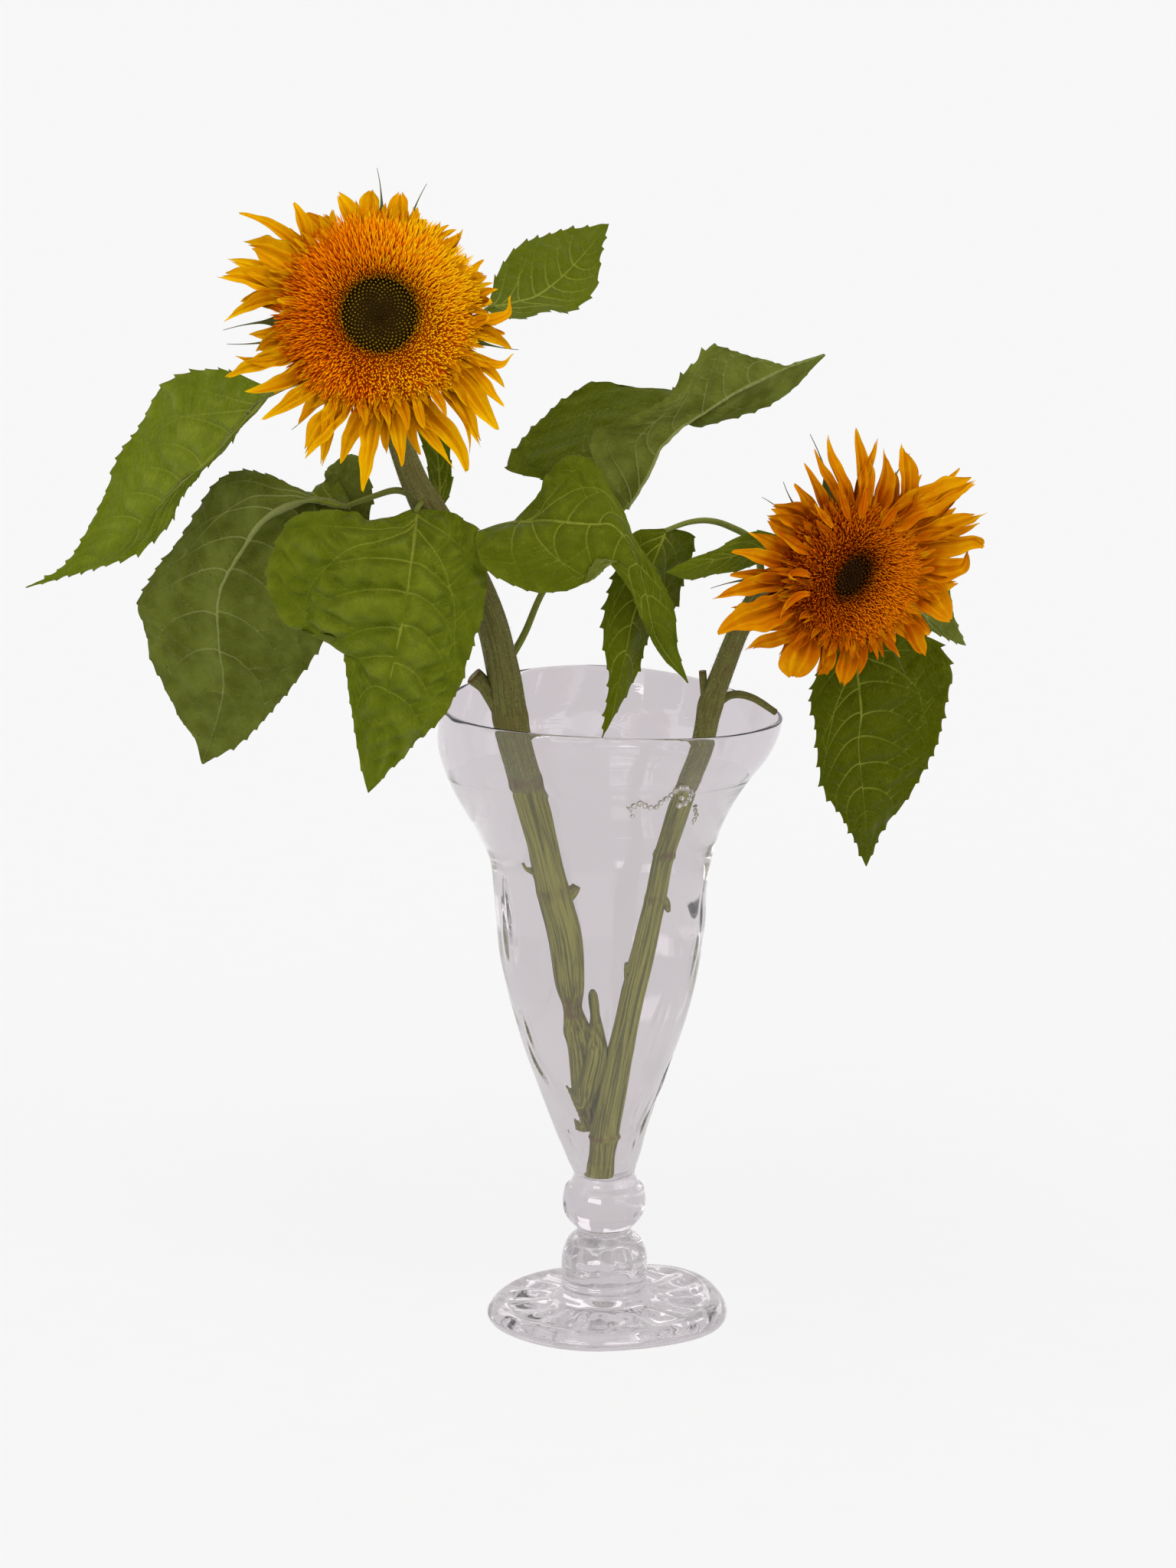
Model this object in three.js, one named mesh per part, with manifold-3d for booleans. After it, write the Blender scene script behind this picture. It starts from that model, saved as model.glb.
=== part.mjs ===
// Two double sunflowers, with their leaves, standing in a tall footed vase of blown glass. Water
// fills it to three centimetres under the rim. Millimetres, +Z up. The origin is the centre of the foot's
// underside, +X is to the right seen from the front, and the flowers face the front, -Y.
import * as THREE from "three";
import { mergeVertices } from "three/addons/utils/BufferGeometryUtils.js";
import Module from "manifold-3d";

const wasm = await Module();
wasm.setup();

// ---------------------------------------------------------------- driving dimensions

const GAP = 0.3; // clearance kept between two pieces that touch
const RIM_HEIGHT = 300;
const FOOT_RADIUS = 57.5;
const WATER_LEVEL = 268;
const BOWL_FLOOR = { height: 69, radius: 4.5, dish: 0.5 }; // lowest point inside the bowl, and its dish
const VASE_SEGMENTS = 26;
const HALF = 0.5; // from the middle of a unit box or cylinder to its side
const SAME_POINT = 1e-3; // corners nearer than this are one

// Foot and knops of the vase, from the middle of the underside up to the neck: [radius, height].
const FOOT_AND_KNOPS = [
  [0, 0],
  [53.5, 0],
  [56.3, 1.4],
  [FOOT_RADIUS, 4.6],
  [55, 8],
  [46, 9],
  [32, 9.8],
  [24, 11.5],
  [21, 15],
  [20.5, 22],
  [20.6, 28],
  [19.6, 34],
  [16.5, 40],
  [13, 45],
  [16, 48.5],
  [19, 53],
  [19.8, 59.5],
  [18.8, 65.5],
  [15.8, 69.5],
  [14.4, 72],
];

// The bowl, bottom to rim: [height, outer half width, wall, shift of the centre in X, depth over width].
const BOWL = [
  [73, 14.5, 6, 0, 1],
  [77, 16, 4.5, -0.5, 1],
  [84, 18.5, 3.9, -0.8, 1],
  [92, 21.2, 3.7, -1.5, 1],
  [107, 26.2, 3.3, -2, 0.99],
  [122, 31.5, 3.1, -2.2, 0.98],
  [137, 37, 3, -2, 0.97],
  [152, 41.5, 2.9, -1.7, 0.96],
  [167, 45.2, 2.9, -1.8, 0.95],
  [182, 48, 2.8, -1.9, 0.94],
  [197, 49.6, 2.8, -1.6, 0.92],
  [212, 50.4, 2.7, -2, 0.91],
  [227, 52.6, 2.7, -1.8, 0.89],
  [242, 58, 2.6, -3, 0.87],
  [256, 65.2, 2.6, -4, 0.85],
  [268, 71.2, 2.5, -3.5, 0.84],
  [280, 76.2, 2.4, -2, 0.88],
  [291, 77.6, 2.3, -0.5, 0.92],
  [RIM_HEIGHT - 1, 77.6, 2.2, 0.5, 0.95],
];
const SPOUT = { reach: 5.5, spread: 0.42, from: 262 }; // the point that the rim is drawn out to at +X
// Rise of the rim round the mouth, which fades out downwards.
const RIM_WAVE = { from: 235, mean: 0.25, cos1: -3, sin1: 3.5, cos2: -2.25 };
// The foot isn't quite round: each wave is [count round the foot, phase, share of the radius].
const FOOT_WAVE = {
  inner: 24,
  low: 10,
  high: 14,
  waves: [
    [1, -0.7, 0.03],
    [3, 0.9, 0.018],
    [5, 2.4, 0.014],
  ],
};

// Stems, cut end to flower: [x, y, z, radius].
const LEFT_STEM = [
  [-5, 8, 97, 4.4],
  [-7.5, 1, 120, 4.6],
  [-10, -8, 146, 4.8],
  [-12.5, -13, 160, 4.8],
  [-14, -17, 172, 5.8],
  [-17, -23, 196, 7],
  [-22, -28, 216, 7.2],
  [-29, -33, 247, 6.9],
  [-35, -37, 268, 7.2],
  [-43, -43, 299, 7.8],
  [-46, -46, 322, 7.5],
  [-51, -50, 346, 7],
  [-59, -54, 368, 6.6],
  [-69, -59, 388, 6.2],
  [-81, -63, 405, 6.4],
  [-91, -67, 430, 5.6],
  [-97, -64, 456, 5.4],
  [-100, -65, 474, 5.6],
  [-100.4, -71, 485, 6],
];
const RIGHT_STEM = [
  [-2, 0, 72, 5],
  [0, -3, 97, 5.2],
  [2, -5, 113, 5.2],
  [6, -10, 139, 5],
  [11, -16, 166, 4.9],
  [16, -20, 188, 4.9],
  [22, -25, 215, 4.8],
  [26, -28, 235, 4.8],
  [36, -34, 264, 4.7],
  [45, -40, 290, 4.9],
  [49, -44, 310, 5.2],
  [55, -48, 328, 4.8],
  [62, -51, 346, 4.6],
  [70, -53, 361, 4.6],
  [82, -53, 371, 4.6],
  [95, -55, 375, 4.6],
  [101, -61, 375.5, 5],
];
// Cut leaf stalks and a side shoot that are still on the stems: [x, y, z, radius], from inside the stem out.
const LEFT_STUBS = [
  [
    [-43, -44, 301, 4],
    [-50, -45, 312, 3.6],
    [-58, -46, 321, 3.2],
    [-61, -47, 324, 2.6],
  ],
  [
    [-7.5, 1, 122, 3.6],
    [-4, -6, 140, 3.5],
    [-3.5, -10, 152, 3],
    [-3.5, -12, 164, 1.4],
  ],
  [
    [-21, -27, 212, 5],
    [-14, -26, 218, 3],
    [-12, -26, 221, 2],
  ],
];
const RIGHT_STUBS = [
  [
    [47, -43, 303, 3],
    [46, -45, 313, 2],
    [45, -46, 325, 1.7],
  ],
  [
    [48, -44, 306, 2.4],
    [58, -42, 313, 1.9],
    [68, -38, 311, 1.7],
    [79, -32, 303, 1.5],
  ],
];

// Flower heads: middle of the face, the way it faces, and its ray petals as [degrees round the face from +X,
// reach of the tip, width, rise of the tip, sideways bend of the tip].
const LEFT_HEAD = {
  centre: [-99, -106, 495],
  facing: [0.05, -0.96, 0.27],
  discRadius: 17, // the dark middle of the face
  neck: 6.6, // radius of the stem where it joins the calyx
  petals: [
    [6, 63, 12, -3, 4],
    [27, 53, 11, -6, 2],
    [46, 54, 11, -2, -3],
    [63, 53, 11, -6, 2],
    [80, 58, 12, -2, 2],
    [96, 57, 12, -6, -2],
    [112, 59, 12, -2, 2],
    [128, 65, 12, -7, -3],
    [146, 77, 12, -2, -7],
    [163, 74, 14, -8, 2],
    [182, 69, 12, -2, -4],
    [201, 72, 13, -8, 2],
    [219, 68, 12, -2, 3],
    [240, 71, 13, -8, -2],
    [261, 76, 12, -2, 3],
    [280, 66, 11, -8, 2],
    [299, 77, 13, -2, 3],
    [318, 71, 13, -8, -3],
    [340, 65, 12, -2, 3],
  ],
};
const RIGHT_HEAD = {
  centre: [111, -96, 377],
  facing: [0.28, -0.955, 0.05],
  discRadius: 11,
  neck: 6,
  petals: [
    [3, 62, 13, -2, 2],
    [19, 73, 12, -7, 2],
    [34, 73, 13, -2, 3],
    [52, 58, 12, -7, 2],
    [67, 62, 12, -2, -3],
    [82, 66, 10, -7, 2],
    [97, 63, 10, -2, 3],
    [113, 54, 11, -6, -2],
    [134, 47, 13, -2, 2],
    [153, 49, 13, -6, 2],
    [170, 54, 12, -2, -2],
    [187, 63, 12, -6, 2],
    [203, 62, 13, -2, 2],
    [220, 57, 11, -6, -2],
    [241, 52, 14, -2, 2],
    [263, 50, 12, -6, -2],
    [299, 46, 11, -2, 2],
    [318, 53, 11, -7, 3],
    [338, 56, 13, -4, 2],
  ],
};
const RING_RADIUS = 42; // the ring of small tube-shaped flowers round it
const CALYX_RADIUS = 36;
const CALYX_TOP = -8; // heights in a head are measured along the way it faces, from the middle of its face
const CALYX_FOOT = -26;
const LOWER_ROW_RISE = -4; // petals whose tips drop further than this grow from the lower row
const PETAL = { root: 31.5, thickness: 0.8, lower: -7.2, upper: -5.2, along: 5, across: 2 };
const BRACT = {
  root: 26,
  reach: 54,
  width: 12,
  height: -12.6,
  rise: -6,
  bend: 0,
  thickness: 1.4,
  along: 3,
  across: 1,
};
const BRACT_COUNT = 12;
// Half width along a petal or bract: a stretch of a sine wave, from root to tip.
const OUTLINE = { root: 0.15, tip: 0.97, power: 0.8 };
// Sections of the parts of a head: [radius, height]. Those of the ring and disc start from the disc's radius.
const CUP = [
  [0, CALYX_FOOT],
  [7, CALYX_FOOT],
  [14, CALYX_FOOT + 2],
  [24, CALYX_FOOT + 7],
  [33, CALYX_TOP - 4],
  [CALYX_RADIUS, CALYX_TOP - 1],
  [CALYX_RADIUS, CALYX_TOP],
  [0, CALYX_TOP],
];
const RING_CREST = [
  [28, 8.5],
  [36, 5],
  [RING_RADIUS, -2],
];
const RING_INNER = { edge: 1, run: 5, shoulder: 6, lip: 2 };
const DISC_CREST = [
  [1, -1],
  [0.8, 1],
  [0.4, 1],
  [0, 0],
]; // [share of the radius, height]

// Leaves. Each blade is a sheet over rails that run from its base to its tip: the margin on one side, any
// fold, the midrib, and the margin on the other side. A stalk runs from inside the stem to the base.
const LEAF_THICKNESS = 1;
const LEAF_ALONG = 9;
const LEAF_ACROSS = 2; // strips between two rails
const SLOPE_STEP = 0.02; // to either side of a point of a sheet, to find its slope
const TIP_CUT = 0.975; // share of a rail that is kept, which blunts the tip
const STALK_RADIUS = 1.7;
const LEAVES = {
  leaf_behind_left_flower: {
    stem: "left_stem",
    stalk: [[-94, -66, 444], [-76, -57, 464], [-62, -53, 484], [-50, -54, 494]],
    rails: [
      [[-52, -49, 495], [-49, -39, 505], [-40, -27, 517], [-19, -13, 524], [-8, -8, 525], [2, -4, 526]],
      [[-52, -54, 493], [-33, -42, 496], [-21, -31, 503], [-10, -19, 513], [2, -4, 526]],
      [
        [-52, -57, 491], [-43, -59, 488], [-27, -49, 490], [-14, -36, 490], [-4, -25, 499],
        [-2, -15, 513], [2, -4, 526],
      ],
    ],
  },
  leaf_far_left: {
    stem: "left_stem",
    stalk: [[-94, -66, 440], [-117, -62, 453], [-136, -66, 460], [-153, -70, 454]],
    rails: [
      [
        [-151, -65, 458], [-174, -50, 464], [-200, -36, 456], [-213, -30, 436], [-223, -27, 421],
        [-234, -23, 395], [-251, -20, 369], [-269, -15, 358],
      ],
      [
        [-150, -70, 456], [-175, -57, 428], [-198, -45, 406], [-218, -34, 385], [-240, -24, 369],
        [-269, -15, 358],
      ],
      [
        [-152, -67, 452], [-172, -51, 427], [-192, -39, 406], [-200, -33, 391], [-211, -29, 379],
        [-236, -23, 368], [-269, -15, 358],
      ],
    ],
  },
  leaf_lower_left: {
    stem: "left_stem",
    stalk: [[-81, -63, 405], [-93, -64, 411], [-105, -63, 408], [-118, -61, 403]],
    rails: [
      [
        [-118, -57, 405], [-138, -48, 409], [-154, -40, 414], [-166, -34, 416], [-180, -28, 407],
        [-196, -21, 383], [-216, -13, 352], [-215, -13, 342], [-208, -11, 316], [-192, -12, 287],
        [-188, -12, 274],
      ],
      [
        [-115, -62, 403], [-135, -57, 405], [-153, -50, 397], [-166, -43, 379], [-176, -39, 360],
        [-177, -34, 336], [-176, -28, 313], [-188, -12, 274],
      ],
      [
        [-116, -55, 406], [-124, -41, 419], [-114, -38, 423], [-106, -46, 409], [-110, -52, 388],
        [-120, -49, 356], [-131, -43, 335], [-148, -33, 311], [-169, -21, 287], [-188, -12, 274],
      ],
    ],
  },
  leaf_centre: {
    stem: "left_stem",
    stalk: [[-81, -63, 405], [-83, -70, 406], [-85, -76, 403]],
    rails: [
      [
        [-87, -74, 404], [-96, -80, 402], [-117, -84, 405], [-139, -84, 402], [-150, -80, 382],
        [-149, -78, 364], [-138, -80, 349], [-120, -86, 347], [-115, -92, 323], [-111, -92, 296],
        [-107, -88, 276],
      ],
      [
        [-84, -74, 404], [-86, -92, 385], [-89, -99, 364], [-94, -100, 340], [-100, -96, 312],
        [-107, -88, 276],
      ],
      [
        [-82, -74, 404], [-70, -78, 404], [-56, -82, 393], [-53, -84, 377], [-54, -86, 362],
        [-59, -88, 347], [-64, -90, 329], [-72, -90, 313], [-87, -90, 297], [-107, -88, 276],
      ],
    ],
  },
  leaf_under_left_flower: {
    stem: "left_stem",
    stalk: [[-78, -62, 400], [-76, -58, 399], [-75, -54, 402]],
    rails: [
      [[-78, -54, 400], [-80, -48, 409], [-81, -44, 423], [-85, -44, 437], [-84, -46, 448]],
      [[-76, -55, 400], [-75, -50, 409], [-76, -47, 423], [-79, -46, 437], [-84, -46, 448]],
      [[-74, -56, 400], [-70, -50, 409], [-70, -48, 423], [-73, -48, 437], [-84, -46, 448]],
    ],
  },
  leaf_upper_middle: {
    stem: "left_stem",
    stalk: [
      [-46, -46, 326], [-37, -41, 341], [-29, -37, 359], [-16, -32, 378], [0, -28, 388], [11, -26, 400],
    ],
    rails: [
      [
        [4, -16, 399], [-30, 16, 404], [-46, 27, 409], [-36, 31, 423], [-19, 31, 440], [7, 26, 449],
        [34, 21, 453], [51, 28, 465], [79, 36, 458], [104, 45, 460],
      ],
      [
        [2, -26, 400], [-6, -28, 413], [-6, -27, 424], [-3, -22, 433], [9, -17, 437], [25, -8, 444],
        [37, 8, 451], [54, 20, 457], [79, 33, 453], [104, 45, 460],
      ],
      [
        [8, -26, 398], [13, -22, 409], [18, -19, 419], [23, -14, 427], [28, -9, 433], [35, -2, 437],
        [44, 7, 442], [61, 19, 448], [83, 33, 452], [104, 45, 460],
      ],
      [
        [11, -23, 396], [14, -20, 401], [18, -15, 407], [24, -10, 418], [30, -4, 426], [36, 0, 429],
        [41, 6, 431], [67, 21, 437], [80, 32, 444], [104, 45, 460],
      ],
    ],
  },
  leaf_middle_front: {
    stem: "left_stem",
    stalk: [[-69, -59, 388], [-59, -68, 391], [-48, -75, 396], [-39, -80, 399]],
    rails: [
      [
        [-44, -78, 397], [-57, -84, 395], [-54, -92, 381], [-37, -98, 372], [-26, -102, 371],
        [-11, -104, 374], [-3, -102, 386], [10, -98, 374], [21, -92, 347], [38, -84, 326],
      ],
      [
        [-41, -78, 399], [-27, -88, 401], [-15, -94, 401], [-5, -98, 401], [3, -100, 401],
        [10, -100, 394], [16, -98, 381], [19, -94, 367], [23, -90, 349], [38, -84, 326],
      ],
      [
        [-40, -76, 400], [-31, -80, 410], [-27, -80, 420], [-15, -80, 429], [-5, -84, 427],
        [4, -90, 414], [14, -94, 394], [23, -94, 379], [31, -92, 362], [33, -88, 342], [38, -84, 326],
      ],
    ],
  },
  leaf_middle_hanging: {
    stem: "right_stem",
    stalk: [
      [72, -53, 363], [68, -56, 386], [56, -58, 394], [47, -62, 397], [38, -67, 397], [27, -73, 394],
    ],
    rails: [
      [
        [26, -72, 395], [14, -74, 394], [8, -77, 384], [0, -82, 359], [0, -86, 342], [2, -88, 330],
        [0, -90, 311], [-1, -90, 302],
      ],
      [
        [28, -72, 395], [25, -76, 387], [19, -80, 372], [13, -84, 357], [10, -87, 342], [6, -89, 325],
        [3, -90, 311], [-1, -90, 302],
      ],
      [
        [30, -70, 395], [39, -62, 390], [39, -62, 382], [36, -63, 373], [32, -68, 358], [20, -76, 346],
        [15, -82, 330], [4, -89, 311], [-1, -90, 302],
      ],
    ],
  },
  leaf_beside_right_flower: {
    stem: "right_stem",
    stalk: [[78, -53, 369], [84, -58, 378], [78, -63, 386]],
    rails: [
      [[80, -62, 390], [70, -66, 393], [60, -72, 391], [50, -76, 386], [40, -80, 383], [27, -84, 377]],
      [[81, -62, 386], [69, -68, 385], [59, -74, 383], [48, -78, 381], [38, -82, 378], [27, -84, 377]],
      [[79, -62, 382], [69, -66, 378], [61, -72, 376], [52, -76, 375], [38, -81, 373], [27, -84, 377]],
    ],
  },
  leaf_lower_right: {
    stem: "right_stem",
    stalk: [[86, -54, 372], [98, -56, 365], [108, -57, 354], [116, -60, 341]],
    rails: [
      [
        [113, -60, 343], [103, -62, 337], [97, -63, 327], [94, -63, 314], [96, -63, 304],
        [98, -61, 286], [101, -58, 271], [111, -54, 256], [121, -47, 233],
      ],
      [
        [116, -60, 343], [115, -64, 330], [116, -66, 320], [117, -66, 308], [116, -65, 294],
        [118, -61, 276], [120, -56, 257], [121, -47, 233],
      ],
      [
        [119, -60, 345], [132, -60, 345], [149, -57, 342], [158, -56, 327], [156, -56, 315],
        [153, -56, 298], [148, -55, 284], [139, -53, 266], [129, -50, 252], [121, -47, 233],
      ],
    ],
  },
  leaf_far_right: {
    stem: "right_stem",
    stalk: [[92, -55, 375], [104, -50, 375], [116, -48, 371], [128, -48, 366]],
    rails: [
      [
        [127, -45, 368], [144, -31, 373], [155, -23, 376], [159, -20, 362], [162, -17, 347],
        [168, -13, 331],
      ],
      [[126, -48, 367], [139, -37, 356], [150, -27, 345], [160, -19, 337], [168, -13, 331]],
      [
        [125, -47, 364], [132, -41, 355], [141, -34, 347], [151, -27, 340], [161, -19, 334],
        [168, -13, 331],
      ],
    ],
  },
};

// ---------------------------------------------------------------- materials

const finish = (color, roughness, extra = {}) =>
  new THREE.MeshStandardMaterial({ color, roughness, metalness: 0, ...extra });
const glassFinish = () => finish(0xdcd9de, 0.05, { transparent: true, opacity: 0.35 });
const waterFinish = () => finish(0xcfd6d6, 0.02, { transparent: true, opacity: 0.3 });
const stemFinish = () => finish(0x6f7a3c, 0.7);
const leafFinish = () => finish(0x5c7f2c, 0.55, { side: THREE.DoubleSide });
const calyxFinish = () => finish(0x55692f, 0.75);
const petalFinish = () => finish(0xe7a117, 0.6, { side: THREE.DoubleSide });
const floretFinish = () => finish(0xd9820f, 0.8);
const discFinish = () => finish(0x3a3318, 0.85);

// ---------------------------------------------------------------- solids

// The closed surface of a geometry as a solid, turned to face outwards.
function toSolid(geometry) {
  const bare = geometry.index ? geometry.toNonIndexed() : geometry.clone();
  bare.deleteAttribute("normal");
  bare.deleteAttribute("uv");
  const merged = mergeVertices(bare, SAME_POINT);
  const corners = Array.from(merged.index.array);
  const kept = [];
  for (let i = 0; i < corners.length; i += 3) {
    const [a, b, c] = corners.slice(i, i + 3);
    if (a !== b && b !== c && c !== a) kept.push(a, b, c);
  }
  const build = (triangles) =>
    new wasm.Manifold(
      new wasm.Mesh({
        numProp: 3,
        vertProperties: new Float32Array(merged.attributes.position.array),
        triVerts: new Uint32Array(triangles),
      }),
    );
  const solid = build(kept);
  return solid.volume() > 0 ? solid : build(kept.reverse());
}

function toMesh(solid, name, material) {
  const made = solid.getMesh();
  const geometry = new THREE.BufferGeometry();
  geometry.setAttribute("position", new THREE.BufferAttribute(made.vertProperties, 3));
  geometry.setIndex(new THREE.BufferAttribute(made.triVerts, 1));
  geometry.computeVertexNormals();
  const mesh = new THREE.Mesh(geometry, material);
  mesh.name = name;
  return mesh;
}

function moveVertices(geometry, place) {
  const position = geometry.attributes.position;
  for (let i = 0; i < position.count; i++) {
    position.setXYZ(i, ...place(position.getX(i), position.getY(i), position.getZ(i)));
  }
  return geometry;
}

const curveThrough = (points) =>
  new THREE.CatmullRomCurve3(points.map(([x, y, z]) => new THREE.Vector3(x, y, z)));

// A round bar along points [x, y, z, radius]. Both ends can be lengthened and the radius grown by extra.
function bar(points, sides, steps, extra = 0) {
  const curve = curveThrough(points);
  const frames = curve.computeFrenetFrames(steps, false);
  const radiusAt = (share) => {
    const place = curve.getUtoTmapping(share) * (points.length - 1);
    const i = Math.min(Math.floor(place), points.length - 2);
    return THREE.MathUtils.lerp(points[i][3], points[i + 1][3], place - i);
  };
  const geometry = new THREE.CylinderGeometry(1, 1, 1, sides, steps);
  return toSolid(
    moveVertices(geometry, (x, y, z) => {
      const share = y + HALF;
      const step = Math.round(share * steps);
      const centre = curve.getPointAt(share);
      const radius = radiusAt(share) + extra;
      const beyond = step === 0 ? -extra : step === steps ? extra : 0;
      centre.addScaledVector(frames.tangents[step], beyond);
      centre.addScaledVector(frames.normals[step], radius * x);
      centre.addScaledVector(frames.binormals[step], radius * z);
      return centre.toArray();
    }),
  );
}

const fade = (value, from, to) => THREE.MathUtils.smoothstep(value, from, to);

// ---------------------------------------------------------------- vase and water

// Columns of BOWL between its rows: column 3 is the shift of the centre, 4 the depth over the width.
function bowlValue(height, column) {
  const above = BOWL.findIndex((row) => row[0] >= height);
  if (above <= 0) return above < 0 ? BOWL.at(-1)[column] : BOWL[0][column];
  const [low, high] = [BOWL[above - 1], BOWL[above]];
  return THREE.MathUtils.mapLinear(height, low[0], high[0], low[column], high[column]);
}

// Free-blown shape: takes a point of the round vase to its place on the uneven one.
function blown(x, y, z) {
  const radius = Math.hypot(x, y);
  const angle = Math.atan2(y, x);
  const onFoot = fade(radius, FOOT_WAVE.inner, FOOT_RADIUS) * (1 - fade(z, FOOT_WAVE.low, FOOT_WAVE.high));
  const wave = FOOT_WAVE.waves.reduce((sum, [n, phase, size]) => sum + size * Math.cos(n * angle + phase), 0);
  const spread = 1 + onFoot * wave;
  const mouth = fade(z, SPOUT.from, RIM_HEIGHT) * Math.exp(-((angle / SPOUT.spread) ** 2));
  const rise =
    RIM_WAVE.mean +
    RIM_WAVE.cos1 * Math.cos(angle) +
    RIM_WAVE.sin1 * Math.sin(angle) +
    RIM_WAVE.cos2 * Math.cos(2 * angle);
  return [
    x * spread + bowlValue(z, 3) + SPOUT.reach * mouth,
    y * spread * bowlValue(z, 4),
    z + rise * fade(z, RIM_WAVE.from, RIM_HEIGHT),
  ];
}

function lathed(profile, segments) {
  const geometry = new THREE.LatheGeometry(
    profile.map(([radius, height]) => new THREE.Vector2(radius, height)),
    segments,
  );
  return geometry.rotateX(Math.PI / 2);
}

function vase() {
  const outside = BOWL.map(([height, half]) => [half, height]);
  const inside = BOWL.map(([height, half, wall]) => [half - wall, height]).reverse();
  const lip = [[BOWL.at(-1)[1] - BOWL.at(-1)[2] / 2, RIM_HEIGHT]];
  const floor = [
    [BOWL_FLOOR.radius, BOWL_FLOOR.height + BOWL_FLOOR.dish],
    [0, BOWL_FLOOR.height],
  ];
  const profile = [...FOOT_AND_KNOPS, ...outside, ...lip, ...inside, ...floor];
  return toSolid(moveVertices(lathed(profile, VASE_SEGMENTS), blown));
}

// The inside of the bowl less one gap, cut off level at the surface of the water, less the stems.
function water(stems) {
  const profile = [
    [0, BOWL_FLOOR.height + GAP],
    [BOWL_FLOOR.radius, BOWL_FLOOR.height + BOWL_FLOOR.dish + GAP],
    ...BOWL.map(([height, half, wall]) => [half - wall - GAP, height]),
    [0, BOWL.at(-1)[0]],
  ];
  const full = toSolid(moveVertices(lathed(profile, VASE_SEGMENTS), blown));
  const room = 2 * RIM_HEIGHT; // wider than the mouth
  const air = new THREE.BoxGeometry(room, room, room).translate(0, 0, WATER_LEVEL + room / 2);
  return stems.reduce((left, stem) => left.subtract(stem), full.subtract(toSolid(air)));
}

// ---------------------------------------------------------------- stems and leaves

const STEM_SIDES = 10;
const STEM_STEPS = 26;
const STUB_SIDES = 6;
const STUB_STEPS = 4;
const STALK_STEPS = 2; // for each point of its list

// The last point of a stem, one gap behind the foot of the flower's calyx.
function joinPoint(head) {
  const facing = new THREE.Vector3(...head.facing).normalize();
  const end = new THREE.Vector3(...head.centre).addScaledVector(facing, CALYX_FOOT - GAP);
  return [...end.toArray(), head.neck];
}

function stem(points, stubs, extra = 0) {
  const main = bar(points, STEM_SIDES, STEM_STEPS, extra);
  return stubs.reduce((all, stub) => all.add(bar(stub, STUB_SIDES, STUB_STEPS, extra)), main);
}

function blade(rails) {
  const curves = rails.map(curveThrough);
  const gaps = rails.length - 1;
  const point = (share, across) => {
    const gap = Math.min(Math.floor(across * gaps), gaps - 1);
    const along = share * TIP_CUT;
    return curves[gap].getPointAt(along).lerp(curves[gap + 1].getPointAt(along), across * gaps - gap);
  };
  const inside = (value) => THREE.MathUtils.clamp(value, 0, 1);
  const sheet = new THREE.BoxGeometry(1, 1, 1, LEAF_ACROSS * gaps, LEAF_ALONG, 1);
  return toSolid(
    moveVertices(sheet, (x, y, z) => {
      const [across, share] = [x + HALF, y + HALF];
      const run = point(inside(share + SLOPE_STEP), across).sub(point(inside(share - SLOPE_STEP), across));
      const width = point(share, inside(across + SLOPE_STEP)).sub(point(share, inside(across - SLOPE_STEP)));
      const normal = run.cross(width).normalize();
      return point(share, across).addScaledVector(normal, z * LEAF_THICKNESS).toArray();
    }),
  );
}

function leaf({ rails, stalk }, clearance) {
  const bars = stalk.map((point) => [...point, STALK_RADIUS]);
  return blade(rails).add(bar(bars, STUB_SIDES, stalk.length * STALK_STEPS)).subtract(clearance);
}

// ---------------------------------------------------------------- flower heads

const HEAD_SEGMENTS = 24;

// A petal or bract lying outwards along +X of the head's face, turned to its angle.
function rayPetal({ angle, root, reach, width, height, rise, bend, thickness, along, across }) {
  const strip = new THREE.BoxGeometry(1, 1, 1, along, across, 1);
  const turn = THREE.MathUtils.degToRad(angle);
  return toSolid(
    moveVertices(strip, (x, y, z) => {
      const share = x + HALF;
      const phase = THREE.MathUtils.lerp(OUTLINE.root, OUTLINE.tip, share);
      const half = (width / 2) * Math.sin(Math.PI * phase) ** OUTLINE.power;
      const radius = THREE.MathUtils.lerp(root, reach, share);
      const side = 2 * y * half + bend * share ** 2;
      return [
        radius * Math.cos(turn) - side * Math.sin(turn),
        radius * Math.sin(turn) + side * Math.cos(turn),
        height + rise * share ** 2 + thickness * z,
      ];
    }),
  );
}

function calyx() {
  let all = toSolid(lathed(CUP, HEAD_SEGMENTS));
  for (let i = 0; i < BRACT_COUNT; i++) {
    all = all.add(rayPetal({ ...BRACT, angle: (360 * (i + HALF)) / BRACT_COUNT }));
  }
  return all;
}

function floretRing(discRadius) {
  const inner = discRadius + GAP;
  const seat = CALYX_TOP + GAP;
  const petalRoom = PETAL.upper + PETAL.thickness;
  const petalStart = PETAL.root - RING_INNER.edge;
  const profile = [
    [inner, seat],
    [inner, RING_INNER.edge],
    [inner + RING_INNER.run, RING_INNER.shoulder],
    ...RING_CREST,
    [RING_RADIUS - RING_INNER.lip, petalRoom],
    [petalStart, petalRoom],
    [petalStart, seat],
    [inner, seat],
  ];
  return toSolid(lathed(profile, HEAD_SEGMENTS));
}

function disc(radius) {
  const seat = CALYX_TOP + GAP;
  const crest = DISC_CREST.map(([share, height]) => [share * radius, height]);
  return toSolid(lathed([[0, seat], [radius, seat], ...crest], HEAD_SEGMENTS));
}

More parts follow.
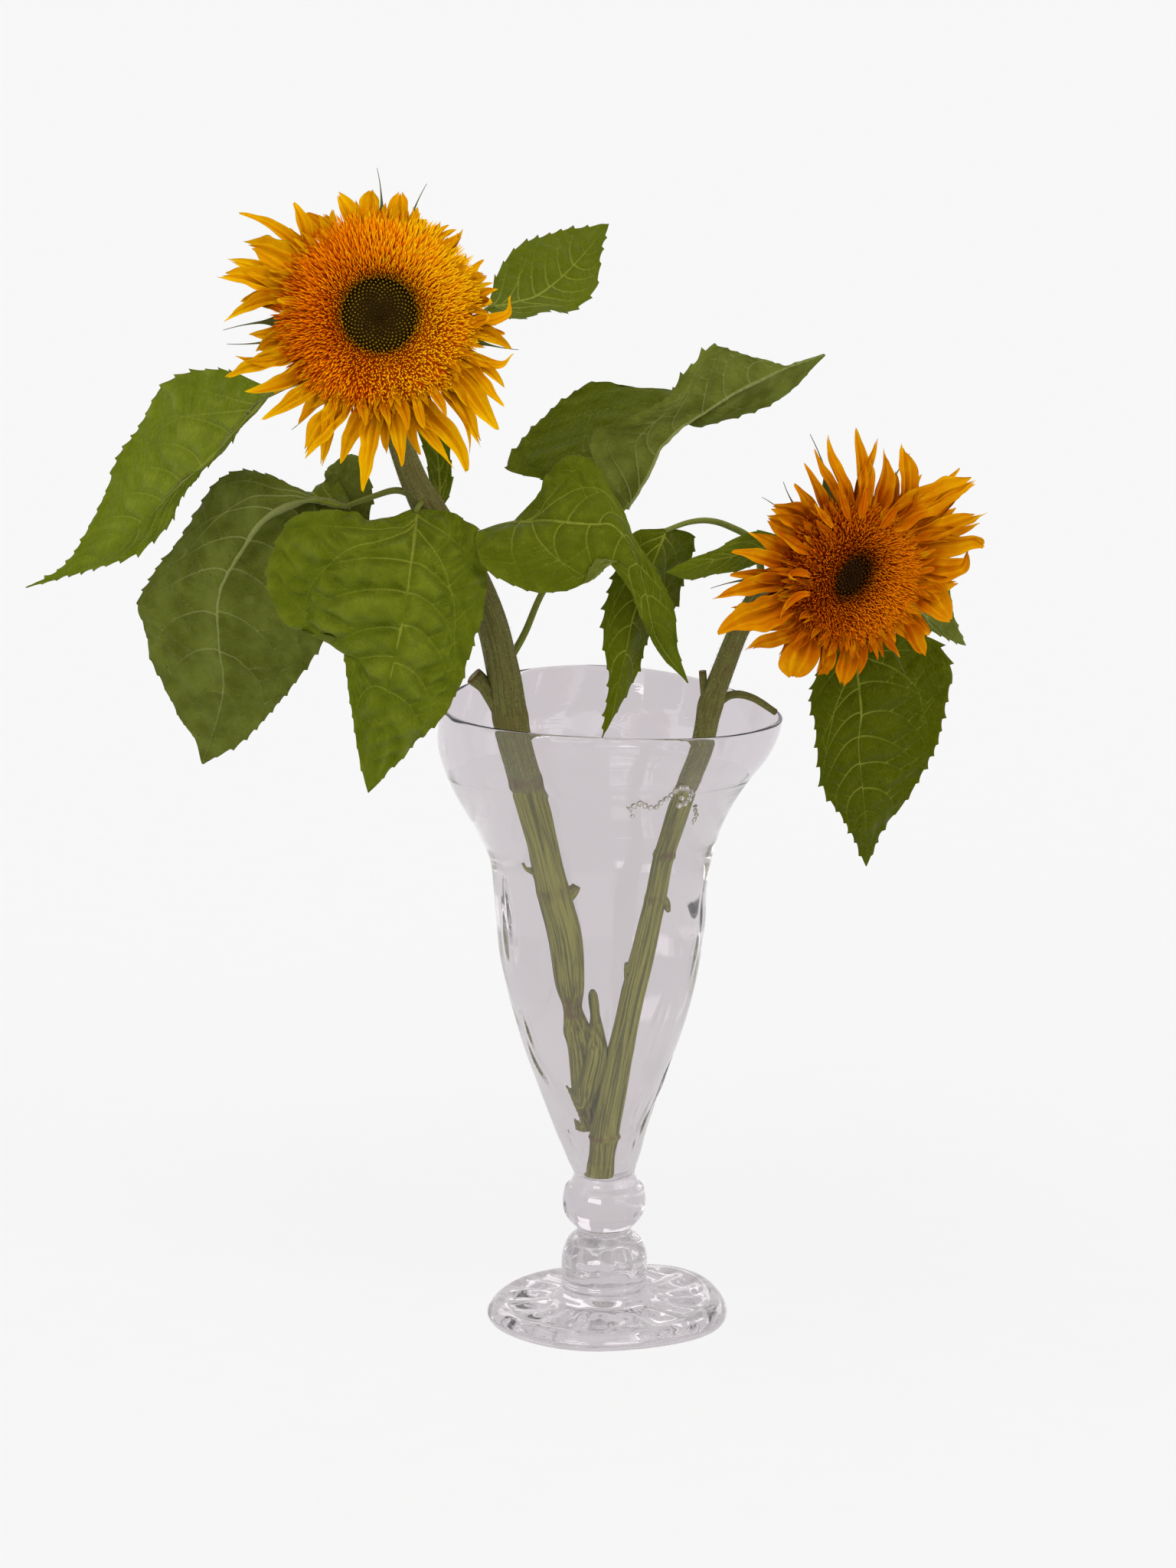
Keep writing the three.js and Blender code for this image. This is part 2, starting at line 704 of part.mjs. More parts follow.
function flowerHead(side, head) {
  const face = new THREE.Group();
  const facing = new THREE.Vector3(...head.facing).normalize();
  const right = new THREE.Vector3(0, 0, 1).cross(facing).normalize();
  const up = facing.clone().cross(right);
  face.position.set(...head.centre);
  face.quaternion.setFromRotationMatrix(new THREE.Matrix4().makeBasis(right, up, facing));
  face.add(toMesh(calyx(), `${side}_calyx`, calyxFinish()));
  face.add(toMesh(floretRing(head.discRadius), `${side}_floret_ring`, floretFinish()));
  face.add(toMesh(disc(head.discRadius), `${side}_disc`, discFinish()));
  head.petals.forEach(([angle, reach, width, rise, bend], i) => {
    const height = rise < LOWER_ROW_RISE ? PETAL.lower : PETAL.upper;
    const petal = rayPetal({ ...PETAL, angle, reach, width, rise, bend, height });
    const number = String(i + 1).padStart(2, "0");
    face.add(toMesh(petal, `${side}_petal_${number}`, petalFinish()));
  });
  return face;
}

// ---------------------------------------------------------------- the whole object

const group = new THREE.Group();
const stemPoints = {
  left_stem: [...LEFT_STEM, joinPoint(LEFT_HEAD)],
  right_stem: [...RIGHT_STEM, joinPoint(RIGHT_HEAD)],
};
const stubs = { left_stem: LEFT_STUBS, right_stem: RIGHT_STUBS };
const clearances = {};
for (const [name, points] of Object.entries(stemPoints)) {
  group.add(toMesh(stem(points, stubs[name]), name, stemFinish()));
  clearances[name] = stem(points, stubs[name], GAP);
}
group.add(toMesh(vase(), "vase", glassFinish()));
group.add(toMesh(water(Object.values(clearances)), "water", waterFinish()));
for (const [name, shape] of Object.entries(LEAVES)) {
  group.add(toMesh(leaf(shape, clearances[shape.stem]), name, leafFinish()));
}
group.add(flowerHead("left", LEFT_HEAD));
group.add(flowerHead("right", RIGHT_HEAD));

export default group;
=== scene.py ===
"""Two double sunflowers standing in a tall footed vase of blown glass, nearly full of water.

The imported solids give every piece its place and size. This script gives the pieces their fine shape and
finish. Lengths are millimetres in the frame of the part until a mesh is made, which is in metres.
"""
import math

import bpy
import numpy as np
from mathutils.kdtree import KDTree
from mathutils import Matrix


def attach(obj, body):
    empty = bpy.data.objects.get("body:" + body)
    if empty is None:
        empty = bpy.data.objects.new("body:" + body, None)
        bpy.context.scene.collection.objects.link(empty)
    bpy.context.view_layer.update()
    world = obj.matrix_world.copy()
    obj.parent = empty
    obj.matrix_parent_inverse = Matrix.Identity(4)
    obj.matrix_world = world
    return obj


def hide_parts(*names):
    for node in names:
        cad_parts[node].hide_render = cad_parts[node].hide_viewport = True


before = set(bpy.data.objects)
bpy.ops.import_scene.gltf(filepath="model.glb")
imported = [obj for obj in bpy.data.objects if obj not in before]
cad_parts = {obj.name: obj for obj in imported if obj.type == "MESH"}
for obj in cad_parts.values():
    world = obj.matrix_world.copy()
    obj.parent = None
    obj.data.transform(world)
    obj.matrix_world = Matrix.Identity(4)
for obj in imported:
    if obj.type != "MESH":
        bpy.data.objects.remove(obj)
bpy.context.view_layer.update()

MM = 0.001
PHOTO_HEIGHT = 2048  # pixels
FOCAL_PIXELS = 6233
CAMERA_PLACE = (0, -2.2, 0.72)  # metres
CAMERA_TILT = 90 - 11.75  # degrees up from straight down
CAMERA_TURN = 0.202
GOLDEN_ANGLE = math.pi * (3 - math.sqrt(5))

# ------------------------------------------------------------------ camera, floor and light

scene = bpy.context.scene
scene.view_settings.view_transform = "Standard"
# Light that is caught in the thick glass needs many turns to get out.
scene.cycles.max_bounces = 40
scene.cycles.transmission_bounces = 40
scene.cycles.glossy_bounces = 24
PAPER_WHITE = 0.912  # what the floor sends to the camera, so that floor and sky meet unseen


def make_camera():
    data = bpy.data.cameras.new("camera")
    data.sensor_width = 36
    data.lens = FOCAL_PIXELS * data.sensor_width / PHOTO_HEIGHT
    data.clip_end = 200
    camera = bpy.data.objects.new("camera", data)
    camera.location = CAMERA_PLACE
    camera.rotation_euler = (math.radians(CAMERA_TILT), 0, math.radians(CAMERA_TURN))
    scene.collection.objects.link(camera)
    scene.camera = camera


class Paint:
    """The nodes of one material or world, made one call at a time."""

    def __init__(self, owner):
        owner.use_nodes = True
        self.owner = owner
        self.tree = owner.node_tree

    def node(self, kind, inputs=(), **settings):
        made = self.tree.nodes.new("ShaderNode" + kind)
        for key, value in settings.items():
            setattr(made, key, value)
        for key, value in dict(inputs).items():
            self.feed(made.inputs[key], value)
        return made

    def feed(self, socket, value):
        if isinstance(value, bpy.types.NodeSocket):
            self.tree.links.new(value, socket)
        elif socket.type == "RGBA" and len(value) == 3:
            socket.default_value = (*value, 1)
        else:
            socket.default_value = value

    def math(self, operation, a, b=0.0, clamp=False):
        return self.node("Math", {0: a, 1: b}, operation=operation, use_clamp=clamp).outputs[0]

    def plus(self, a, b):
        return self.math("ADD", a, b)

    def minus(self, a, b):
        return self.math("SUBTRACT", a, b)

    def times(self, a, b, clamp=False):
        return self.math("MULTIPLY", a, b, clamp)

    def vector_math(self, operation, a, b=(0.0, 0.0, 0.0), output=0):
        return self.node("VectorMath", {0: a, 1: b}, operation=operation).outputs[output]

    def span(self, value, low, high, to_low=0.0, to_high=1.0):
        """The value moved smoothly from one span to another."""
        inputs = {"Value": value, "From Min": low, "From Max": high, "To Min": to_low, "To Max": to_high}
        return self.node("MapRange", inputs, interpolation_type="SMOOTHSTEP").outputs[0]

    def stored(self, name):
        return self.node("Attribute", attribute_name=name).outputs["Fac"]

    def grown(self):
        """Millimetres across and along a piece, as it grew."""
        return self.node("Attribute", attribute_name="grow").outputs["Vector"]

    def place(self):
        return self.node("TexCoord").outputs["Object"]

    def height(self, place):
        return self.node("SeparateXYZ", {0: place}).outputs["Z"]

    def stretched(self, vector, scale):
        return self.vector_math("MULTIPLY", vector, scale)

    def noise(self, vector, scale=1.0, detail=3.0, roughness=0.5):
        inputs = {"Vector": vector, "Scale": scale, "Detail": detail, "Roughness": roughness}
        return self.node("TexNoise", inputs).outputs["Fac"]

    def cells(self, vector, scale, feature="F1"):
        made = self.node("TexVoronoi", {"Vector": vector, "Scale": scale}, feature=feature)
        return made.outputs["Distance"]

    def mix(self, share, a, b):
        return self.node("Mix", {0: share, 6: a, 7: b}, data_type="RGBA").outputs[2]

    def bump(self, height, distance, strength):
        return self.node("Bump", {"Height": height, "Distance": distance, "Strength": strength}).outputs[0]

    def shader(self):
        return self.tree.nodes["Principled BSDF"]

    def coat(self, **inputs):
        """Feeds the inputs of a material's shader."""
        for key, value in inputs.items():
            self.feed(self.shader().inputs[key.replace("_", " ")], value)

    def end_with(self, shader):
        """Makes a shader the surface of the world or material."""
        kind = "World" if isinstance(self.owner, bpy.types.World) else "Material"
        self.feed(self.tree.nodes[kind + " Output"].inputs["Surface"], shader)

    def either(self, share, a, b):
        return self.node("MixShader", {0: share, 1: a, 2: b}).outputs[0]


def material(name, **constants):
    """The Paint of a new material, with the fixed values of its shader set."""
    paint = Paint(bpy.data.materials.new(name))
    paint.coat(**constants)
    return paint


# Soft boxes of the studio: direction of the middle, half width and half height in radians, edge, strength.
SOFT_BOXES = (
    {"towards": (-0.45, -0.5, 0.74), "half": (0.5, 0.4), "edge": 0.16, "strength": 1.3},
    {"towards": (0.8, -0.5, 0.4), "half": (0.4, 0.35), "edge": 0.16, "strength": 1.6},
    {"towards": (0.15, 0.35, 0.92), "half": (0.7, 0.5), "edge": 0.25, "strength": 0.4},
)
# Bright windows and dark screens that only reflections, and rays bent by the glass, find.
WINDOWS = (
    {"towards": (-0.45, -0.84, 0.08), "half": (0.3, 0.08), "edge": 0.03, "strength": 8.0},
    {"towards": (-0.45, -0.84, 0.5), "half": (0.2, 0.06), "edge": 0.03, "strength": 6.0},
    {"towards": (0.85, -0.5, 0.3), "half": (0.05, 0.2), "edge": 0.02, "strength": 3.0},
    {"towards": (-0.3, 0.85, 0.5), "half": (0.3, 0.07), "edge": 0.03, "strength": 1.9},
    {"towards": (0.4, 0.85, 0.35), "half": (0.12, 0.08), "edge": 0.03, "strength": 1.9},
)
SCREENS = (
    {"towards": (-0.93, 0.4, 0.1), "half": (0.035, 0.6), "edge": 0.05, "strength": 0.4},
    {"towards": (0.93, 0.4, 0.1), "half": (0.035, 0.6), "edge": 0.05, "strength": 0.4},
    {"towards": (0.0, -1.0, 0.0), "half": (0.9, 0.35), "edge": 0.2, "strength": 0.45},
    {"towards": (0.0, 0.25, 0.97), "half": (0.6, 0.15), "edge": 0.08, "strength": 0.4},
)
WINDOWS_BENT = 0.4  # how much of a window's light the rays bent by the glass find
STUDIO_COLOUR = (1.0, 0.985, 0.97)
SKY_LEVEL = 0.38
SKY_REFLECTED = 0.86
SEEN_THROUGH_GLASS = (0.65, 0.606, 0.634)  # the far side of the studio, as it shows through the vase


def boxes_light(paint, direction, boxes):
    """The summed light of the boxes in a direction."""
    light = 0.0
    for box in boxes:
        towards = np.array(box["towards"]) / np.linalg.norm(box["towards"])
        across = np.cross(towards, (0, 0, 1))
        across /= np.linalg.norm(across)
        upwards = np.cross(across, towards)
        inside = None
        for axis, half in ((across, box["half"][0]), (upwards, box["half"][1])):
            side = paint.math("ABSOLUTE", paint.vector_math("DOT_PRODUCT", direction, tuple(axis), "Value"))
            part = paint.span(side, math.sin(half), math.sin(half) + box["edge"], 1.0, 0.0)
            inside = part if inside is None else paint.times(inside, part)
        facing = paint.vector_math("DOT_PRODUCT", direction, tuple(towards), "Value")
        inside = paint.times(inside, paint.math("GREATER_THAN", facing, 0.0))
        light = paint.plus(light, paint.times(inside, box["strength"]))
    return light


def make_world():
    """Even pale surroundings with soft boxes; the camera itself sees only the pale paper."""
    scene.world = bpy.data.worlds.new("studio")
    paint = Paint(scene.world)
    direction = paint.node("TexCoord").outputs["Generated"]
    ray = paint.node("LightPath").outputs
    light = paint.plus(boxes_light(paint, direction, SOFT_BOXES), SKY_LEVEL)
    windows = boxes_light(paint, direction, WINDOWS)
    mirrored = paint.plus(paint.math("MAXIMUM", light, SKY_REFLECTED), windows)
    sharp = paint.times(ray["Is Glossy Ray"], ray["Is Singular Ray"])
    strength = paint.node("Mix", {0: sharp, 2: light, 3: mirrored}, data_type="FLOAT").outputs[0]
    studio = paint.tree.nodes["Background"]
    paint.feed(studio.inputs["Color"], STUDIO_COLOUR)
    paint.feed(studio.inputs["Strength"], strength)
    glints = paint.times(windows, WINDOWS_BENT)
    bent = paint.minus(paint.plus(glints, 1.0), boxes_light(paint, direction, SCREENS))
    far = paint.node("Background", {"Color": SEEN_THROUGH_GLASS, "Strength": bent}).outputs[0]
    seen = paint.either(ray["Is Transmission Ray"], studio.outputs[0], far)
    paper = paint.node("Background", {"Color": (1, 1, 1), "Strength": PAPER_WHITE}).outputs[0]
    paint.end_with(paint.either(ray["Is Camera Ray"], seen, paper))


FLOOR_SIZE = 160  # metres
FLOOR_LIGHT = (0.455, 0.462, 0.469)
FLOOR_DARK = (0.445, 0.452, 0.459)
FLOOR_GLOW = 0.45  # keeps the shadows on it faint
FOOT_SHADE = {"full": 0.052, "none": 0.07, "depth": 0.42}  # metres from the middle of the foot


def make_floor():
    paint = material(
        "pale_paper", Roughness=0.9, Specular_IOR_Level=0.0,
        Emission_Color=(1, 1, 1), Emission_Strength=FLOOR_GLOW,
    )
    place = paint.place()
    paint.coat(Base_Color=paint.mix(paint.noise(place, 40.0, 2.0), FLOOR_LIGHT, FLOOR_DARK))
    # The play of light and shade that the thick foot throws on the paper, seen only through the glass.
    rays = paint.noise(paint.vector_math("NORMALIZE", place), 6.0, 4.0, 0.6)
    away = paint.vector_math("LENGTH", place, output="Value")
    near = paint.span(away, FOOT_SHADE["full"], FOOT_SHADE["none"], 1.0, 0.0)
    shade = paint.times(near, paint.span(rays, 0.4, 0.6, 0.0, FOOT_SHADE["depth"]))
    dim = paint.node("Emission", {"Color": SEEN_THROUGH_GLASS, "Strength": paint.minus(1.0, shade)})
    through = paint.node("LightPath").outputs["Is Transmission Ray"]
    paint.end_with(paint.either(through, paint.shader().outputs[0], dim.outputs[0]))
    bpy.ops.mesh.primitive_plane_add(size=FLOOR_SIZE, location=(0, 0, -0.0002))
    floor = bpy.context.object
    floor.name = "floor"
    floor.data.materials.append(paint.owner)


# ------------------------------------------------------------------ paths, sheets and tubes


def ripple(points, size, seed, waves=9):
    """Smooth uneven values, about -1 to 1, that vary over the given size."""
    points = np.asarray(points, float)
    source = np.random.default_rng(seed)
    directions = source.normal(size=(waves, points.shape[-1]))
    directions /= np.linalg.norm(directions, axis=1, keepdims=True)
    directions *= source.uniform(0.6, 1.7, (waves, 1))
    phases = source.uniform(0, 2 * math.pi, waves)
    return 2.5 * np.sin(points @ directions.T * (2 * math.pi / size) + phases).mean(-1)


def step_up(value, low, high):
    share = np.clip((value - low) / (high - low), 0, 1)
    return share * share * (3 - 2 * share)


def unit(vectors):
    return vectors / np.maximum(np.linalg.norm(vectors, axis=-1, keepdims=True), 1e-9)


PATH_STEPS = 24  # from each point of a path to the next


class Path:
    """A smooth curve through points, which may carry further columns, such as a radius."""

    def __init__(self, points):
        points = np.asarray(points, float)
        ends = [2 * points[0] - points[1], *points, 2 * points[-1] - points[-2]]
        t = np.linspace(0, 1, PATH_STEPS, endpoint=False)[:, None]
        dense = []
        for a, b, c, d in zip(ends, ends[1:], ends[2:], ends[3:]):
            pairs = ((a, b), (b, c), (c, d))
            first, second, third = (max(np.linalg.norm((q - p)[:3]), 1e-6) ** 0.5 for p, q in pairs)
            leaving = ((b - a) / first - (c - a) / (first + second) + (c - b) / second) * second
            arriving = ((c - b) / second - (d - b) / (second + third) + (d - c) / third) * second
            dense.append(
                b + leaving * t + (3 * (c - b) - 2 * leaving - arriving) * t**2
                + (2 * (b - c) + leaving + arriving) * t**3
            )
        self.rows = np.vstack([*dense, points[-1:]])
        steps_long = np.linalg.norm(np.diff(self.rows[:, :3], axis=0), axis=1)
        self.reached = np.concatenate([[0], np.cumsum(steps_long)])
        self.length = self.reached[-1]

    def at(self, shares):
        shares = np.asarray(shares, float)
        places = shares * self.length
        columns = [np.interp(places, self.reached, column) for column in self.rows.T]
        return np.stack(columns, axis=-1)


def table(keys):
    """A smooth function through (x, value) pairs with rising x."""
    keys = np.asarray(keys, float)
    rows = Path(np.column_stack([keys, np.zeros(len(keys))])).rows
    order = np.maximum.accumulate(rows[:, 0])
    return lambda x: np.interp(x, order, rows[:, 1])


class Shape:
    """Points, faces and per-point values that add up to one piece."""

    def __init__(self):
        self.points, self.faces, self.values, self.count = [], [], {}, 0

    def add(self, points, faces, **values):
        points = np.asarray(points, float).reshape(-1, 3)
        self.points.append(points)
        self.faces += [[corner + self.count for corner in face] for face in faces]
        for key, value in values.items():
            width = 3 if key == "grow" else 1
            full = np.broadcast_to(np.asarray(value, float).reshape(-1, width), (len(points), width))
            self.values.setdefault(key, []).append(full)
        self.count += len(points)

    def piece(self, name, paint, slot, *nodes, smooth=True):
        mesh = bpy.data.meshes.new(name)
        mesh.from_pydata((np.vstack(self.points) * MM).tolist(), [], self.faces)
        for key, parts in self.values.items():
            kind, field = ("FLOAT_VECTOR", "vector") if key == "grow" else ("FLOAT", "value")
            stored = mesh.attributes.new(key, kind, "POINT")
            stored.data.foreach_set(field, np.vstack(parts).astype(np.float32).ravel())
        mesh.polygons.foreach_set("use_smooth", [smooth] * len(mesh.polygons))
        mesh.materials.append(paint)
        mesh.update()
        thing = bpy.data.objects.new(name, mesh)
        scene.collection.objects.link(thing)
        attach(thing, "root")
        if nodes:
            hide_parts(*nodes)
        return thing


_sheet_faces = {}


def sheet_faces(rows, columns):
    """Faces of a closed thin sheet: a grid of points, then the same grid again for its back."""
    if (rows, columns) not in _sheet_faces:
        back = rows * columns
        at = np.arange(back).reshape(rows, columns)
        quads = np.stack([at[:-1, :-1], at[:-1, 1:], at[1:, 1:], at[1:, :-1]], -1).reshape(-1, 4)
        faces = quads.tolist() + (quads[:, ::-1] + back).tolist()
        edge = [*at[0, :-1], *at[:-1, -1], *at[-1, :0:-1], *at[:0:-1, 0]]
        for a, b in zip(edge, edge[1:] + edge[:1]):
            faces.append([int(b), int(a), int(a) + back, int(b) + back])
        _sheet_faces[rows, columns] = faces
    return _sheet_faces[rows, columns]


def ring_faces(rows, sides):
    """Faces of rings of points, closed at both ends to a point each, which come after the rings."""
    at = np.arange(rows * sides).reshape(rows, sides)
    after = np.roll(at, -1, axis=1)
    faces = np.stack([at[:-1], after[:-1], after[1:], at[1:]], -1).reshape(-1, 4).tolist()
    for i in range(sides):
        faces.append([int(after[0, i]), i, rows * sides])
        faces.append([int(at[-1, i]), int(after[-1, i]), rows * sides + 1])
    return faces


def turned_back(faces):
    """The faces seen from their other side."""
    return [face[::-1] for face in faces]


def twice(values):
    """The values of the points of a sheet's one side, given to both."""
    return np.concatenate([values, values])


def stacked(*parts):
    """Arrays of any fitting shapes, as the columns of one list of rows."""
    return np.stack(np.broadcast_arrays(*parts), -1)


def turning_frames(centres):
    """Directions along, and two across, at each point of a line, without twist."""
    along = unit(np.gradient(centres, axis=0))
    side = np.zeros_like(along)
    first = np.cross(along[0], (0, 1, 0.2))
    side[0] = unit(first)
    for i in range(1, len(along)):
        kept = side[i - 1] - along[i] * (side[i - 1] @ along[i])
        side[i] = unit(kept)
    return along, side, np.cross(along, side)


def tube(shape, points, spacing, sides, profile=None, tone=0.5, **values):
    """A closed round bar along points [x, y, z, radius]; profile(along, angle) scales its radius."""
    path = Path(points)
    rows = max(4, int(path.length / spacing) + 1)
    line = path.at(np.linspace(0, 1, rows))
    _, side, other = turning_frames(line[:, :3])
    angle = np.linspace(0, 2 * math.pi, sides, endpoint=False)
    reached = np.linspace(0, path.length, rows)
    radius = np.repeat(line[:, 3:4], sides, 1)
    if profile is not None:
        radius = radius * profile(reached[:, None], angle[None, :])
    cos, sin = np.cos(angle), np.sin(angle)
    ring = side[:, None] * cos[None, :, None] + other[:, None] * sin[None, :, None]
    skin = line[:, None, :3] + ring * radius[..., None]
    grow = np.stack([radius * cos, radius * sin, np.repeat(reached[:, None], sides, 1)], -1)
    points_all = np.vstack([skin.reshape(-1, 3), line[[0, -1], :3]])
    grow_all = np.vstack([grow.reshape(-1, 3), [[0, 0, 0], [0, 0, path.length]]])
    inner = np.concatenate([np.zeros(rows * sides), [1, 1]])
    extra = {key: value(points_all, grow_all) if callable(value) else value for key, value in values.items()}
    shape.add(points_all, ring_faces(rows, sides), grow=grow_all, core=inner, tone=tone, **extra)


# ------------------------------------------------------------------ vase and water

RIM_HEIGHT = 300
WATER_LEVEL = 268
FLOOR_OF_BOWL = 69
FOOT_RADIUS = 57.5
VASE_SIDES = 288
WATER_IN_GLASS = 0.2  # the water's skin lies just inside the glass, so light bends once between the two
MENISCUS = {"rise": 0.12, "width": 0.9}
WATER_INDEX = 1.333
SURFACE_INDEX = 1.035  # of the water just under its surface, which hardly shows in the photo
WATER_FADE = {"from": WATER_LEVEL - 45, "to": WATER_LEVEL - 2}

# Foot and knops, from the middle of the underside up to the neck: [radius, height].
FOOT_AND_KNOPS = [
    [0, 0], [53.5, 0], [56.3, 1.4], [FOOT_RADIUS, 4.6], [55, 8], [46, 9], [32, 9.8], [24, 11.5], [21, 15],
    [20.2, 20], [20.6, 27], [20.1, 33], [17.6, 39.5], [13, 45], [16, 48.5], [19, 53], [19.8, 59.5],
    [18.8, 65.5], [15.8, 69.5], [14.4, 72],
]
# The bowl, bottom to rim: [height, outer half width, wall, shift of the centre in X, depth over width].
BOWL = [
    [73, 14.5, 6, 0, 1], [77, 16, 4.5, -0.5, 1], [84, 18.5, 3.9, -0.8, 1], [92, 21.2, 3.7, -1.5, 1],
    [107, 26.2, 3.3, -2, 0.99], [122, 31.5, 3.1, -2.2, 0.98], [137, 37, 3, -2, 0.97],
    [152, 41.5, 2.9, -1.7, 0.96], [167, 45.2, 2.9, -1.8, 0.95], [182, 48, 2.8, -1.9, 0.94],
    [197, 49.6, 2.8, -1.6, 0.92], [212, 50.4, 2.7, -2, 0.91], [227, 52.6, 2.7, -1.8, 0.89],
    [242, 58, 2.6, -3, 0.87], [256, 65.2, 2.6, -4, 0.85], [268, 71.2, 2.5, -3.5, 0.84],
    [280, 76.2, 2.4, -2, 0.88], [291, 77.6, 2.3, -0.5, 0.92], [RIM_HEIGHT - 1, 77.6, 2.2, 0.5, 0.95],
]
SPOUT = {"reach": 5.5, "spread": 0.42, "from": 262}
RIM_WAVE = {"from": 235, "mean": 0.25, "cos1": -3, "sin1": 3.5, "cos2": -2.25}
FOOT_WAVES = [[1, -0.7, 0.03], [3, 0.9, 0.018], [5, 2.4, 0.014]]
FOOT_WAVE_FROM = 24
FOOT_FLUTES = 17
FLUTE_RISE = 0.8
FOOT_BULGE = {"turn": 0.7, "spread": 0.6, "rise": 3.6}
FOOT_EDGE = {"radius": 51, "half": 3.2, "rise": 0.9}
# Marks of blowing on the outside: [degrees round from +X, height, half width, half height, depth, lean].
DENTS = [
    [-83, 186, 0.9, 6, -0.8, 0.2], [-77, 185, 0.8, 5, -0.7, -0.3], [-54, 158, 1.1, 9, -0.9, 0.35],
    [-47, 151, 1.0, 8, 0.8, 0.3], [-50, 145, 1.0, 7, -0.8, 0.3], [-119, 118, 1.0, 6, -0.8, -0.5],
    [-115, 110, 1.0, 7, -0.8, -0.5], [-49, 110, 1.2, 6, 0.8, 0.2], [-31, 100, 1.0, 5, -0.8, 0.3],
    [-40, 96, 1.1, 5, 0.8, 0.0], [-43, 91, 1.0, 5, -0.8, 0.3], [-35, 106, 1.0, 5, 0.7, 0.4],
    [-131, 92, 0.9, 6, -0.8, -0.2], [-128, 85, 0.9, 5, 0.8, -0.2], [-150, 204, 2.0, 14, -1.0, -0.1],
    [-158, 192, 2.2, 12, 0.8, -0.1], [-145, 189, 0.9, 6, -0.9, 0.1], [-152, 131, 1.2, 8, 0.8, -0.3],
    [-141, 124, 1.0, 6, -0.7, -0.4], [-8, 130, 1.3, 9, -0.8, 0.4], [-12, 118, 1.2, 8, 0.8, 0.4],
    [-6, 110, 1.1, 6, -0.8, 0.4], [-18, 201, 1.2, 9, -0.7, 0.1], [-20, 186, 1.2, 8, 0.7, 0.1],
    [-150, 146, 1.2, 8, 0.8, -0.2], [60, 190, 1.3, 9, 0.7, 0.2], [110, 160, 1.2, 9, -0.8, -0.3],
    [150, 130, 1.1, 7, 0.8, -0.2], [85, 120, 1.1, 7, -0.7, 0.3], [35, 220, 1.4, 8, 0.6, 0.1],
    [125, 205, 1.0, 6, -0.7, 0.2], [45, 110, 1.0, 6, 0.8, 0.4], [170, 170, 1.2, 9, 0.8, -0.1],
]
# A twig of small bubbles in the front wall and a swirl beside it: [degrees round from +X, height, half size].
BUBBLE_TWIG = [
    [-75, 262, 1.5], [-72.7, 264.2, 1.2], [-69.7, 264.8, 1.3], [-66.6, 263, 1.1], [-63.5, 262.2, 1.0],
    [-61.6, 264.5, 1.0], [-59.6, 266.7, 1.0], [-57.9, 268.8, 1.0], [-56.9, 270.7, 1.3], [-54.6, 272, 1.4],
    [-51.8, 271, 1.3], [-48.8, 268.2, 1.2], [-48.4, 265, 1.1], [-50.4, 262.8, 1.3], [-53, 262.4, 1.1],
    [-43.6, 261.2, 0.9], [-41.8, 258, 0.9], [-40.4, 255.2, 0.9], [-41.3, 251.8, 0.9], [-73, 258.7, 0.9],
    [-52.3, 266.4, 1.2],
]
KNOPS = {"inside": 26, "above": 11}  # the radius and height that tell them from the foot
BOWL_FROM = 74.5
SECTION_ROWS = {"foot": 176, "outside": 100, "lip": 9, "inside": 52}
BUBBLE_SWELL = 1.15
BUBBLE_OUT = 0.3  # how far the middle of the bubbles lies outside the wall
SWIRL_FROM = 15  # the row of the twig at which the swirl starts; the last two rows are single bubbles
# Grooves and beads turned into the knops: [height, half width, depth].
KNOP_GROOVES = [
    [68.2, 0.9, 0.6], [65.6, 0.8, -0.25], [43.2, 0.8, 0.4],
    [18.2, 1.0, -0.5], [15.6, 0.9, 0.7], [13, 0.9, -0.4],
]


def bowl_column(column):
    keys = [[row[0], row[column]] for row in BOWL]
    return table(keys)


half_width, wall_thickness, centre_shift, depth_ratio = (bowl_column(i) for i in (1, 2, 3, 4))


def rim_rise(angle, height):
    wave = RIM_WAVE["mean"] + RIM_WAVE["cos1"] * np.cos(angle) + RIM_WAVE["sin1"] * np.sin(angle)
    wave = wave + RIM_WAVE["cos2"] * np.cos(2 * angle)
    return wave * step_up(height, RIM_WAVE["from"], RIM_HEIGHT)


def blown(radius, angle, height):
    """Takes a point of the round vase to its place on the uneven one."""
    low = 1 - step_up(height, 10, 14)
    wave = sum(size * np.cos(n * angle + phase) for n, phase, size in FOOT_WAVES)
    spread = 1 + step_up(radius, FOOT_WAVE_FROM, FOOT_RADIUS) * low * wave
    mouth = step_up(height, SPOUT["from"], RIM_HEIGHT) * np.exp(-((angle / SPOUT["spread"]) ** 2))
    x = radius * np.cos(angle) * spread + centre_shift(height) + SPOUT["reach"] * mouth
    y = radius * np.sin(angle) * spread * depth_ratio(height)
    return np.stack([x, y, height + rim_rise(angle, height)], -1)


def turned(rows, sides, place):
    """A closed body of rings; the first and last rows of [radius, height] lie on the axis."""
    angle = np.linspace(-math.pi, math.pi, sides, endpoint=False)
    radius = np.repeat(rows[1:-1, :1], sides, 1)
    height = np.repeat(rows[1:-1, 1:2], sides, 1)
    skin = place(radius, np.broadcast_to(angle, radius.shape), height)
    tips = place(rows[[0, -1], 0], np.zeros(2), rows[[0, -1], 1])
    return np.vstack([skin.reshape(-1, 3), tips]), ring_faces(len(rows) - 2, sides)


def upright(radius, angle, height):
    """A plain place for turned()."""
    return np.stack([radius * np.cos(angle), radius * np.sin(angle), height + 0 * angle], -1)


